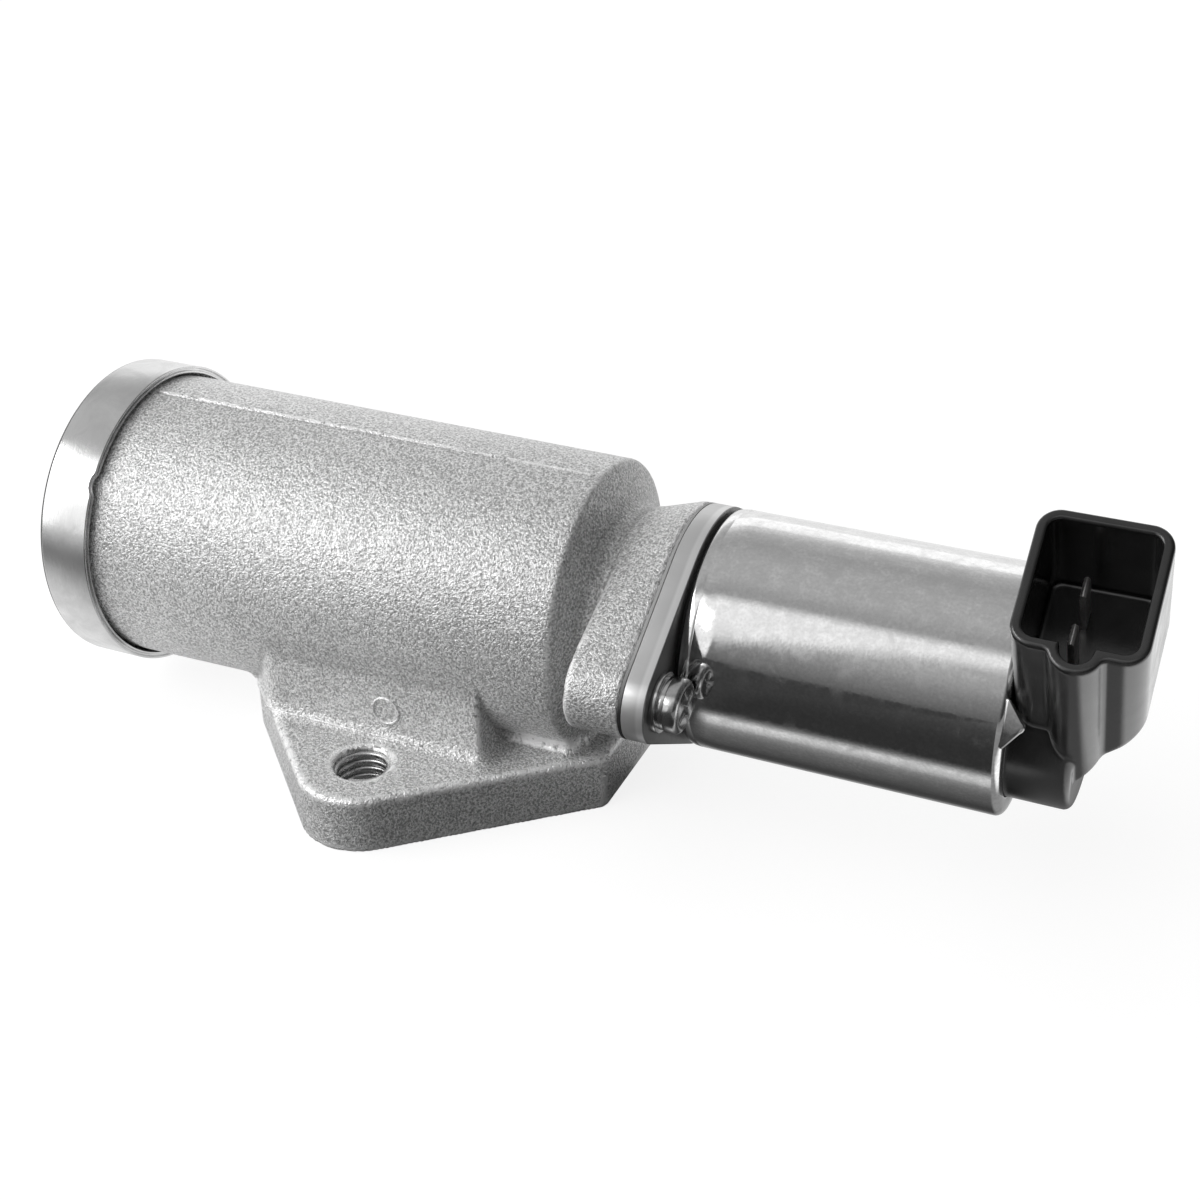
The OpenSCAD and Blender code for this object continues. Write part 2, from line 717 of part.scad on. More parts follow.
// Rubber ring of the given outer radius, its middle at x
module round_seal(x, r_out, thick) {
    along_axis(x) rotate_extrude() translate([r_out - thick / 2, 0]) circle(d = thick, $fn = 24);
}

module pole_seal() color([0.08, 0.08, 0.08])
    round_seal(core_groove_x + seal_w / 2, nose_r, seal_d - seal_play);

module front_guide_bush() color([0.78, 0.65, 0.35])
    ring(nose_x + bush_in, front_bush_len, bush_r, stem_r + slide_gap);

// Thin brass shim that keeps the armature from sticking to the core
module shading_washer() color([0.85, 0.7, 0.3]) {
    outer = armature_r - shim_gap;
    ring(core_end, shim_t, outer, shim_hole * outer);
}

module coil_bobbin() color([0.12, 0.12, 0.13]) {
    side_gap = 0.2;
    rim_r = can_inner_r - side_gap;
    turned([[bobbin_x, bobbin_in_r], [bobbin_x, rim_r], [bobbin_x + bobbin_flange_t, rim_r],
            [bobbin_x + bobbin_flange_t, bobbin_tube_r], [flux_x - bobbin_flange_t, bobbin_tube_r],
            [flux_x - bobbin_flange_t, rim_r], [flux_x, rim_r], [flux_x, bobbin_in_r]]);
}

module coil_winding() color([0.72, 0.35, 0.15])
    ring(bobbin_x + bobbin_flange_t, flux_x - bobbin_x - 2 * bobbin_flange_t,
         winding_r, bobbin_tube_r + fit_gap);

// Brass cup that the armature slides in, closed at the connector's end
module armature_sleeve() color([0.8, 0.66, 0.35]) {
    end = plug_x - sleeve_gap;
    turned([[core_end, sleeve_in_r], [core_end, sleeve_r], [end, sleeve_r], [end, 0],
            [end - sleeve_t, 0], [end - sleeve_t, sleeve_in_r]]);
}

module armature() color([0.68, 0.69, 0.7]) difference() {
    ring(armature_x, armature_len, armature_r, stem_r + fit_gap);
    vent_r = 1.2;
    for (a = [90, 270]) along_axis(armature_x - cut) rotate(a) translate([armature_r, 0, 0])
        cylinder(r = vent_r, h = armature_len + 2 * cut);
}

module flux_washer() color([0.68, 0.69, 0.7])
    ring(flux_x, flux_t, flux_r, sleeve_r + fit_gap);

module housing_seal() color([0.08, 0.08, 0.08])
    round_seal(plug_mid, flux_r, seal_d - seal_play);

// Places a shape drawn in the socket's own axes: X along the valve axis, Z out of the socket's mouth
module in_socket() {
    translate([0, 0, axis_h]) rotate([socket_tilt, 0, 0]) children();
}

// Rectangle with round corners, centred on the socket's middle
module socket_outline(l, w, r) {
    translate([socket_x, 0]) {
        square([l, w - 2 * r], center = true);
        square([l - 2 * r, w], center = true);
        for (x = [-1, 1], y = [-1, 1]) translate([x * (l / 2 - r), y * (w / 2 - r)]) circle(r = r);
    }
}

// The socket's walls with the key rib, solid down to the base and cut off by a slope under the mouth
module socket_tower() {
    out = socket_x + socket_l / 2;
    foot = [1.2, 2.5];
    brow = [0.6, 3];
    side = socket_w / 2 + key_r + cut;
    intersection() {
        linear_extrude(mouth_h) {
            socket_outline(socket_l, socket_w, socket_corner);
            translate([socket_x, key_y]) circle(r = key_r);
        }
        translate([0, side, 0]) rotate([90, 0, 0]) linear_extrude(2 * side)
            polygon([[tower_x, 0], [base_end, 0], [base_end + foot[0], foot[1]], [out - brow[0], slope_h],
                     [out, slope_h + brow[1]], [out, mouth_h], [tower_x, mouth_h]]);
    }
}

// The socket's hollow and the key's slot
module socket_hollow() {
    translate([0, 0, floor_h]) linear_extrude(socket_depth + cut) {
        socket_outline(socket_l - 2 * socket_t, socket_w - 2 * socket_t, socket_corner - socket_t);
        translate([socket_x, key_y]) circle(r = key_r - socket_t);
    }
}

// The bent strip of one terminal, drawn in the socket's axes at y, grown by the given gap
module terminal_strip(y, gap) {
    low = 4;
    inset = 0.6;
    run = blade_x - plug_x - inset;
    translate([blade_x - blade_t / 2 - gap, y - blade_w / 2 - gap, low - gap])
        cube([blade_t + 2 * gap, blade_w + 2 * gap, floor_h + blade_l - low + gap]);
    translate([blade_x - run - gap, y - blade_w / 2 - gap, low - gap])
        cube([run, blade_w + 2 * gap, blade_t + 2 * gap]);
}

module connector_housing() color([0.06, 0.06, 0.06]) difference() {
    groove_a = plug_mid - seal_w / 2;
    groove_b = plug_mid + seal_w / 2;
    edge = 1;
    draft = 0.2;
    union() {
        turned([[plug_x, 0], [plug_x, flux_r], [groove_a, flux_r], [groove_a, flux_r - seal_d],
                [groove_b, flux_r - seal_d], [groove_b, flux_r], [can_end - lip_t, flux_r],
                [can_end - lip_t, base_r], [base_end - edge, base_r - draft],
                [base_end, base_r - draft - edge], [base_end, 0]]);
        in_socket() socket_tower();
    }
    in_socket() {
        socket_hollow();
        for (s = [-1, 1]) terminal_strip(s * blade_pitch / 2, fit_gap);
    }
}

// One tinned terminal with a chamfered tip
module terminal(s) {
    tip = 0.25;
    y = s * blade_pitch / 2;
    in_socket() difference() {
        terminal_strip(y, 0);
        for (t = [-1, 1]) translate([blade_x + t * blade_t / 2, y - blade_w, floor_h + blade_l])
            rotate([0, 45, 0]) translate([-tip, 0, -tip]) cube([2 * tip, 2 * blade_w, 2 * tip]);
    }
}

module terminal_front() color([0.85, 0.85, 0.86]) terminal(-1);

module terminal_rear() color([0.85, 0.85, 0.86]) terminal(1);

valve_body();
end_cap();
cap_seal();
valve_seat();
bulkhead();
rear_guide_bush();
adjuster_carrier();
adjusting_screw();
adjuster_locknut();
spring_cup();
return_spring();
spring_retainer();
retainer_clip();
valve_stem();
valve_disc();
disc_facing();
disc_clip();
solenoid_gasket();
solenoid_plate();
flat_washers();
lock_washers();
solenoid_screws();
can_seal();
solenoid_can();
pole_core();
pole_seal();
front_guide_bush();
shading_washer();
coil_bobbin();
coil_winding();
armature_sleeve();
armature();
flux_washer();
housing_seal();
connector_housing();
terminal_front();
terminal_rear();
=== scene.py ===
"""Idle air control valve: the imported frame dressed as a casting, bright steel and a black moulding."""

import json
import math

import bpy
import numpy as np
from mathutils import Matrix, Vector

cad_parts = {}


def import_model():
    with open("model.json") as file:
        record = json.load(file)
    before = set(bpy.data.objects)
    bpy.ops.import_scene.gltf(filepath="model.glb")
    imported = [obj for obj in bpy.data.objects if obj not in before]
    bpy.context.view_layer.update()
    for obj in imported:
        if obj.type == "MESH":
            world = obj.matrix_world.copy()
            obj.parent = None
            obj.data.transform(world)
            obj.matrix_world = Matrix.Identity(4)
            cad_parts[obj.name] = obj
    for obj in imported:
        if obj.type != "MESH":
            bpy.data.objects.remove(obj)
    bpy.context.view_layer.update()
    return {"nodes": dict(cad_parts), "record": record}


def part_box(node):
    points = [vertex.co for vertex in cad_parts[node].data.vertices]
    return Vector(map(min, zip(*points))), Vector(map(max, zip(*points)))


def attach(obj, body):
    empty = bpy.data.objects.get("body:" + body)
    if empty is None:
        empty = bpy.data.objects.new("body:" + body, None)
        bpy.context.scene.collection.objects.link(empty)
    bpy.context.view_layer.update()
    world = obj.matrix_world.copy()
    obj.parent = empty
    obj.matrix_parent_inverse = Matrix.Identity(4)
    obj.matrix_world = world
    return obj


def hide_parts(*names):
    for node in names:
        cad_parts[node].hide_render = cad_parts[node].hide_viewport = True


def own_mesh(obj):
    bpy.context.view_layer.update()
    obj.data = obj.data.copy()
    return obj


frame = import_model()

# Lengths below are in millimetres, in the frame's axes, and become metres when a mesh is made
MM = 0.001


def reach(node, axis):
    """Where a CAD node begins and ends along an axis, in millimetres."""
    low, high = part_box(node)
    return low[axis] / MM, high[axis] / MM


# Places that the frame gives
AXIS_H = sum(reach("solenoid_plate", 2)) / 2
BODY_LEFT, GASKET_X = reach("valve_body", 0)
CAP_X, CAP_END = reach("end_cap", 0)
SEAL_X, CAN_X = reach("can_seal", 0)
CAN_R = (reach("solenoid_plate", 2)[1] - reach("solenoid_plate", 2)[0]) / 2
EAR_REACH = reach("valve_body", 1)[1]
SPRING_X = reach("spring_cup", 0)[0]

# The casting
BARREL_R = 22.6
BARREL_DRAFT = 0.011
BARREL_RIGHT = 27.2
SHOULDER_SLOPE = (0.91, 0.41)
NECK_R = 15.0
NECK_HALF = 17
NECK_STEP = 0.3
ARM_STEP = 0.12
FLANGE_T = 9.0
EAR_R = 9.6
EAR_Y = EAR_REACH - EAR_R
FLANGE_LEFT = -27.8
FLANGE_RIGHT = 32.3
CUT_HALF = 13.0
BLOCK_HALF = 21.2
BLOCK_LEFT = -26.3
BLOCK_RIGHT = 15.8
BLOCK_FOOT = 4
DIAMOND_X = 32.2
LOBE_R = 6.0
SCREW_Y = 21.8
SCREW_BORE_R = 2.03
SCREW_BORE_X = 31.0
THREAD_ROOT = 4.05
THREAD_PITCH = 1.25
COUNTERSINK_R = 4.5
PORTS = (-16.5, 4.5)
PORT_R = 6.5
OUTLET_R = 13.5
OUTLET_X = -4.0
PARTING = math.radians(5)
RING_PLACE = (0.5, -BLOCK_HALF, 14.0)
RING_R = 2.15

# Radius and right end of each step of the bore, from the cap's side
BORE_STEPS = ((19.0, -24.5), (17.0, -9.0), (11.0, -3.9))

# How far a 45 degree slope lies from a point, for each millimetre along an axis
SLOPE_45 = 0.7

# Radii of the casting's round edges and fillets
BARREL_EDGE = 0.3
SHOULDER_EDGE = 0.45
DIAMOND_EDGE = 0.8
GASKET_EDGE = 0.2
FLANGE_EDGE = 0.9
FACE_EDGE = 0.2
CUT_EDGE = 0.6
BLOCK_RIGHT_EDGE = 0.5
BLOCK_LEFT_EDGE = 2.0
BLOCK_OUTER_EDGE = 1.0
BORE_EDGE = 0.25
NECK_FILLET = 2.0
DIAMOND_FILLET = 0.9
BLOCK_FILLET = 0.45
FLANGE_FILLET = 2.6

# The cap over the barrel
CAP_GAP = 0.03
CAP_WALL = 1.5


def round_max(a, b, r):
    """The larger of two distances, with their shared edge rounded to radius r."""
    corner = np.hypot(np.maximum(a + r, 0), np.maximum(b + r, 0))
    return np.minimum(np.maximum(a, b), -r) + corner


def round_min(a, b, r):
    """The smaller of two distances, with a fillet of radius r in their shared corner."""
    return -round_max(-a, -b, r)


def rounded_rectangle(u, v, half_u, half_v, r):
    """Distance from a rectangle with round corners."""
    du = np.abs(u) - half_u + r
    dv = np.abs(v) - half_v + r
    return np.minimum(np.maximum(du, dv), 0) + np.hypot(np.maximum(du, 0), np.maximum(dv, 0)) - r


def lobed_outline(y, h):
    """Distance from the two-lobed outline of the solenoid's flange."""
    along, across = np.abs(y), np.abs(h)
    sine = (CAN_R - LOBE_R) / SCREW_Y
    cosine = math.sqrt(1 - sine * sine)
    side = across * cosine + along * sine - CAN_R
    turn = along * cosine - across * sine
    middle = np.hypot(along, across) - CAN_R
    lobe = np.hypot(along - SCREW_Y, across) - LOBE_R
    return np.where(turn < 0, middle, np.where(turn > cosine * SCREW_Y, lobe, side))


def flare(x, y, h):
    """Distance from the cone and the two tapered arms that the solenoid's flange is cut from."""
    start = NECK_R + NECK_STEP
    slope = (CAN_R - NECK_R) / (GASKET_X - DIAMOND_X)
    lean = math.asin((start - ARM_STEP - LOBE_R - NECK_STEP) / SCREW_Y)
    rise = slope * (x - DIAMOND_X)
    cone = np.hypot(y, h) - start - rise
    out = np.abs(y) * math.sin(lean) + np.abs(h) * math.cos(lean)
    inwards = np.abs(h) * math.sin(lean) - np.abs(y) * math.cos(lean)
    arm = np.maximum(out - start + ARM_STEP - rise, inwards)
    return np.minimum(cone, arm) / math.hypot(1, slope)


def tangent_angle(x, side):
    """The direction from an ear's centre to where the flange's edge leaves it for the corner at x."""
    dx, dy = x, CUT_HALF - EAR_Y
    return math.atan2(dy, dx) + side * math.acos(EAR_R / math.hypot(dx, dy))


def flange_outline(x, y):
    """Distance from the mounting flange's outline: two ears and two cut sides."""
    dy = np.abs(y) - EAR_Y
    right = tangent_angle(FLANGE_RIGHT, 1)
    left = tangent_angle(FLANGE_LEFT, -1) + 2 * math.pi
    line_right = x * math.cos(right) + dy * math.sin(right) - EAR_R
    line_left = x * math.cos(left) + dy * math.sin(left) - EAR_R
    angle = np.arctan2(dy, x)
    ear = (angle > right) & (angle < left)
    edge = np.where(ear, np.hypot(x, dy) - EAR_R, np.maximum(line_right, line_left))
    edge = round_max(edge, x - FLANGE_RIGHT, CUT_EDGE)
    return round_max(edge, FLANGE_LEFT - x, CUT_EDGE)


def bores_field(x, y, z):
    """Distance from everything that is bored out of the casting."""
    h = z - AXIS_H
    radius = np.hypot(y, h)
    air = np.maximum(radius - OUTLET_R, OUTLET_X - x)
    for bore_r, end in BORE_STEPS:
        air = np.minimum(air, np.maximum(radius - bore_r, x - end))
    for port in PORTS:
        air = np.minimum(air, np.maximum(np.hypot(x - port, y) - PORT_R, z - AXIS_H))
    ear = np.hypot(x, np.abs(y) - EAR_Y)
    countersink = (ear - COUNTERSINK_R - (z - FLANGE_T)) * SLOPE_45
    tapped = np.maximum(np.minimum(ear - THREAD_ROOT, countersink), z - FLANGE_T - 2)
    screws = np.maximum(np.hypot(np.abs(y) - SCREW_Y, h) - SCREW_BORE_R, SCREW_BORE_X - x)
    return np.minimum(np.minimum(air, tapped), screws)


def casting_field(x, y, z):
    """Distance from the casting: barrel, shoulder, neck, lobed flange, port block and mounting flange."""
    h = z - AXIS_H
    radius = np.hypot(y, h)
    wall = BARREL_R - BARREL_DRAFT * (x - BODY_LEFT)
    shoulder_r = BARREL_R - BARREL_DRAFT * (BARREL_RIGHT - BODY_LEFT)
    barrel = round_max(radius - wall, BODY_LEFT - x, BARREL_EDGE)
    shoulder = SHOULDER_SLOPE[0] * (x - BARREL_RIGHT) + SHOULDER_SLOPE[1] * (radius - shoulder_r)
    barrel = round_max(barrel, shoulder, SHOULDER_EDGE)
    neck = np.maximum(radius - NECK_R, np.abs(x - NECK_HALF) - NECK_HALF)
    tube = round_min(barrel, neck, NECK_FILLET)
    lobes = np.maximum(lobed_outline(y, h), flare(x, y, h))
    lobes = round_max(lobes, DIAMOND_X - x, DIAMOND_EDGE)
    lobes = round_max(lobes, x - GASKET_X, GASKET_EDGE)
    tube = round_min(tube, lobes, DIAMOND_FILLET)

    outline = flange_outline(x, y)
    flange = round_max(round_max(outline, z - FLANGE_T, FLANGE_EDGE), -z, FACE_EDGE)
    block = round_max(np.abs(y) - BLOCK_HALF, x - BLOCK_RIGHT, BLOCK_RIGHT_EDGE)
    block = round_max(block, BLOCK_LEFT - x, BLOCK_LEFT_EDGE)
    block = round_max(block, outline, BLOCK_OUTER_EDGE)
    block = np.maximum(np.maximum(block, z - AXIS_H), BLOCK_FOOT - z)
    mass = round_min(tube, block, BLOCK_FILLET)
    mass = round_min(mass, flange, FLANGE_FILLET)
    mass = np.where(z < FLANGE_T, np.maximum(mass, np.minimum(outline, tube)), mass)
    return round_max(mass, -bores_field(x, y, z), BORE_EDGE)


# The connector, in the socket's own axes: X along the valve axis and Z out of the mouth
SOCKET_TILT = math.radians(35)
PLUG_X = reach("connector_housing", 0)[0]
SOCKET_OUT = reach("connector_housing", 0)[1]
SOCKET_HALF_L = 8.2
SOCKET_HALF_W = 9.4
SOCKET_X = SOCKET_OUT - SOCKET_HALF_L
SOCKET_CORNER = 3.0
SOCKET_WALL = 1.4
MOUTH_H = 35.5
FLOOR_H = 18.5
KEY_R = 3.4
KEY_Y = -8.4
PLUG_R = 16.2
PLUG_MIDDLE = 87.0
PLUG_HALF = 1.5
GROOVE_R = 14.7
GROOVE_HALF = 0.95
BASE_R = 14.6
BASE_START = 87.5
BASE_END = 98.2
UNDERCUT_PLACE = (99.4, 2.5)
UNDERCUT_SLOPE = (0.864, 0.504)
CAN_END = 89.6
CAN_WALL = 1.2
TOWER_X = CAN_END + 0.3

# Radii of the connector's round edges and fillets
PLUG_EDGE = 0.2
BASE_EDGE = 1.1
RIM_EDGE = 0.55
UNDERCUT_EDGE = 0.5
MOUTH_EDGE = 0.4
KEY_FILLET = 0.5
TOWER_FILLET = 0.5


def connector_field(x, y, z):
    """Distance from the moulded connector, in the socket's axes."""
    radius = np.hypot(y, z)
    plug = round_max(radius - PLUG_R, np.abs(x - PLUG_MIDDLE) - PLUG_HALF, PLUG_EDGE)
    groove = np.maximum(GROOVE_R - radius, np.abs(x - PLUG_MIDDLE) - GROOVE_HALF)
    plug = np.maximum(plug, -groove)
    base = round_max(radius - BASE_R, x - BASE_END, BASE_EDGE)
    base = np.minimum(plug, np.maximum(base, BASE_START - x))
    u = x - SOCKET_X
    outline = rounded_rectangle(u, y, SOCKET_HALF_L, SOCKET_HALF_W, SOCKET_CORNER)
    outline = round_min(outline, np.hypot(u, y - KEY_Y) - KEY_R, KEY_FILLET)
    tower = round_max(outline, z - MOUTH_H, RIM_EDGE)
    tower = np.maximum(np.maximum(tower, -z), TOWER_X - x)
    undercut = UNDERCUT_SLOPE[0] * (x - UNDERCUT_PLACE[0]) - UNDERCUT_SLOPE[1] * (z - UNDERCUT_PLACE[1])
    tower = round_max(tower, undercut, UNDERCUT_EDGE)
    shape = round_min(base, tower, TOWER_FILLET)
    inner_l = SOCKET_HALF_L - SOCKET_WALL
    inner_w = SOCKET_HALF_W - SOCKET_WALL
    hollow = rounded_rectangle(u, y, inner_l, inner_w, SOCKET_CORNER - SOCKET_WALL)
    hollow = np.minimum(hollow, np.hypot(u, y - KEY_Y) - KEY_R + SOCKET_WALL)
    return round_max(shape, -np.maximum(hollow, FLOOR_H - z), MOUTH_EDGE)


def settle(field, points, limit):
    """Pulls points onto the zero level of a field, along its slope."""
    e = 0.02
    least_steep = 0.3
    for _ in range(3):
        x, y, z = points.T
        slope = np.stack([field(x + e, y, z) - field(x - e, y, z),
                          field(x, y + e, z) - field(x, y - e, z),
                          field(x, y, z + e) - field(x, y, z - e)], axis=1) / (2 * e)
        steep = np.maximum((slope ** 2).sum(axis=1), least_steep)
        move = np.clip(-field(x, y, z) / steep, -limit, limit)
        points = points + slope * move[:, None]
    return points


def skin(field, low, high, step):
    """The zero level of a field as points and quads: one point in each grid cell that it crosses."""
    counts = [int(round((high[i] - low[i]) / step)) + 1 for i in range(3)]
    lines = [low[i] + step * np.arange(counts[i]) for i in range(3)]
    depth = field(*np.meshgrid(*lines, indexing="ij"))
    inside = depth < 0
    cells = tuple(n - 1 for n in counts)
    place = np.zeros(cells + (3,))
    hits = np.zeros(cells)
    crossings = []
    for a in range(3):
        b, c = (a + 1) % 3, (a + 2) % 3
        first = [slice(None)] * 3
        last = [slice(None)] * 3
        first[a], last[a] = slice(0, -1), slice(1, None)
        d0, d1 = depth[tuple(first)], depth[tuple(last)]
        leaving = inside[tuple(first)] & ~inside[tuple(last)]
        entering = ~inside[tuple(first)] & inside[tuple(last)]
        crossed = leaving | entering
        share = np.where(crossed, d0 / np.where(crossed, d0 - d1, 1), 0)
        crossings.append((leaving, entering))
        for sb in (0, 1):
            for sc in (0, 1):
                part = [slice(None)] * 3
                part[b], part[c] = slice(sb, sb + cells[b]), slice(sc, sc + cells[c])
                hit = crossed[tuple(part)]
                hits += hit
                place[..., a] += share[tuple(part)] * hit
                place[..., b] += sb * hit
                place[..., c] += sc * hit
    active = hits > 0
    points = place[active] / hits[active][:, None] + np.argwhere(active)
    points = points * step + np.array(low)
    number = np.full(cells, -1)
    number[active] = np.arange(len(points))
    quads = []
    for a, sides in enumerate(crossings):
        b, c = (a + 1) % 3, (a + 2) % 3
        for turn, crossed in enumerate(sides):
            at = np.argwhere(crossed)
            at = at[(at[:, b] > 0) & (at[:, b] < cells[b]) & (at[:, c] > 0) & (at[:, c] < cells[c])]
            ring = []
            for db, dc in ((0, 0), (-1, 0), (-1, -1), (0, -1)):
                cell = at.copy()
                cell[:, b] += db
                cell[:, c] += dc
                ring.append(number[cell[:, 0], cell[:, 1], cell[:, 2]])
            quads.append(np.stack(ring[::-1] if turn else ring, axis=1))
    return settle(field, points, step / 2), np.concatenate(quads)


def new_piece(name, points, faces, smooth=True):
    """A mesh object from points in millimetres."""
    if isinstance(faces, np.ndarray):
        faces = faces.tolist()
    mesh = bpy.data.meshes.new(name)
    mesh.from_pydata((np.asarray(points) * MM).tolist(), [], faces)
    mesh.validate()
    if smooth:
        mesh.shade_smooth()
    piece = bpy.data.objects.new(name, mesh)
    bpy.context.scene.collection.objects.link(piece)
    return piece


def strip_faces(rows, count, closed=False, flipped=False):
    """Quads between neighbouring rows of points, where each row is a closed section."""
    faces = []
    for i in range(rows if closed else rows - 1):
        j = (i + 1) % rows
        for k in range(count):
            n = (k + 1) % count
            a, b, c, d = i * count + k, i * count + n, j * count + n, j * count + k
            faces.append([a, d, c, b] if flipped else [a, b, c, d])
    return faces


def round_edges(piece, width, segments, angle):
    """Rounds the edges of a piece that are sharper than an angle in degrees."""
    bevel = piece.modifiers.new("edge", "BEVEL")
    bevel.width = width * MM
    bevel.segments = segments
    bevel.limit_method = "ANGLE"
    bevel.angle_limit = math.radians(angle)
    settle_modifiers(piece)
    piece.data.shade_smooth()


def settle_modifiers(piece):
    """Turns a piece with modifiers into a plain mesh."""
    graph = bpy.context.evaluated_depsgraph_get()
    mesh = bpy.data.meshes.new_from_object(piece.evaluated_get(graph), depsgraph=graph)
    old = piece.data
    piece.modifiers.clear()
    piece.data = mesh
    mesh.name = piece.name
    if old.users == 0:
        bpy.data.meshes.remove(old)
    return piece


def join(piece, others):
    """Adds the meshes of other pieces to a piece."""
    with bpy.context.temp_override(active_object=piece, object=piece,
                                   selected_editable_objects=[piece, *others]):
        bpy.ops.object.join()
    return piece


def dress(piece, body, nodes=(), finish=None):
    """Gives a piece its body, the nodes that it stands for and its finish."""
    if finish is not None:
        piece.data.materials.clear()
        piece.data.materials.append(finish)
    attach(piece, body)
    if nodes:
        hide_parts(*nodes)


# Finishes


class Tree:
    """A node tree with short calls for its nodes."""

    def __init__(self, tree):
        self.nodes, self.links = tree.nodes, tree.links

    def node(self, kind, inputs=(), **settings):
        """A new node, with a link or a value for each named input."""
        made = self.nodes.new(kind)
        for key, value in settings.items():
            setattr(made, key, value)
        for key, value in dict(inputs).items():
            if isinstance(value, bpy.types.NodeSocket):
                self.links.new(value, made.inputs[key])
            else:
                made.inputs[key].default_value = value
        return made

    def span(self, value, low, high, to_low=0.0, to_high=1.0):
        """A value from low to high mapped onto another span, held at its ends."""
        inputs = {"Value": value, "From Min": low, "From Max": high, "To Min": to_low, "To Max": to_high}
        return self.node("ShaderNodeMapRange", inputs, clamp=True).outputs[0]

    def blend(self, share, dark, light):
        """A colour between two greys or colours, by a share."""
        def colour(v):
            return (v, v, v, 1) if isinstance(v, (int, float)) else v
        mix = self.node("ShaderNodeMix", data_type="RGBA")
        for socket, value in ((0, share), (6, colour(dark)), (7, colour(light))):
            if isinstance(value, bpy.types.NodeSocket):
                self.links.new(value, mix.inputs[socket])
            else:
                mix.inputs[socket].default_value = value
        return mix.outputs[2]

    def math(self, kind, a, b=0.0):
        """One sum on two links or values."""
        made = self.node("ShaderNodeMath", operation=kind)
        for socket, value in ((0, a), (1, b)):
            if isinstance(value, bpy.types.NodeSocket):
                self.links.new(value, made.inputs[socket])
            else:
                made.inputs[socket].default_value = value
        return made.outputs[0]

    def times(self, a, b):
        return self.math("MULTIPLY", a, b)

    def ramp(self, value, stops):
        """Grey levels at rising values, with straight lines between them."""
        low, high = stops[0][0], stops[-1][0]
        made = self.node("ShaderNodeValToRGB", {"Fac": self.span(value, low, high)})
        elements = made.color_ramp.elements
        while len(elements) < len(stops):
            elements.new(0.5)
        for element, (at, level) in zip(elements, stops):
            element.position = (at - low) / (high - low)
            element.color = (level, level, level, 1)
        return made.outputs[0]

    def choose(self, ray, other, own):
        """One of two shaders, by whether the ray is of the named kind."""
        kind = self.node("ShaderNodeLightPath").outputs[ray]
        return self.node("ShaderNodeMixShader", {0: kind, 1: other, 2: own}).outputs[0]


class Finish(Tree):
    """A procedural material on Object coordinates."""

    def __init__(self, name, colour, metal, rough, **sockets):
        self.material = bpy.data.materials.new(name)
        self.material.use_nodes = True
        super().__init__(self.material.node_tree)
        self.shader = self.nodes["Principled BSDF"]
        self.set("Base Color", (*colour, 1))
        self.set("Metallic", metal)
        self.set("Roughness", rough)
        for socket, value in sockets.items():
            self.set(socket.replace("_", " "), value)
        self.place = self.nodes.new("ShaderNodeTexCoord").outputs["Object"]
        self.height = None

    def set(self, socket, value):
        self.shader.inputs[socket].default_value = value

    def where(self):
        """The X, Y and Z of the place, in metres."""
        return self.node("ShaderNodeSeparateXYZ", {"Vector": self.place}).outputs

    def stretched(self, scale):
        """Object coordinates stretched by a scale for each axis."""
        return self.node("ShaderNodeMapping", {"Vector": self.place, "Scale": scale}).outputs[0]

    def noise(self, scale, detail=2.0, rough=0.5, place=None, warp=0.0):
        inputs = {"Vector": place or self.place, "Scale": scale, "Detail": detail,
                  "Roughness": rough, "Distortion": warp}
        return self.node("ShaderNodeTexNoise", inputs).outputs["Fac"]

    def attribute(self, name):
        return self.node("ShaderNodeAttribute", attribute_name=name).outputs["Fac"]

    def colour(self, socket):
        self.links.new(socket, self.shader.inputs["Base Color"])

    def roughness(self, socket):
        self.links.new(socket, self.shader.inputs["Roughness"])

    def bump(self, height, depth, strength=1.0):
        """Adds a bump of the given depth in millimetres."""
        inputs = {"Height": height, "Distance": depth * MM, "Strength": strength}
        if self.height is not None:
            inputs["Normal"] = self.height
        self.height = self.node("ShaderNodeBump", inputs).outputs[0]
        self.links.new(self.height, self.shader.inputs["Normal"])


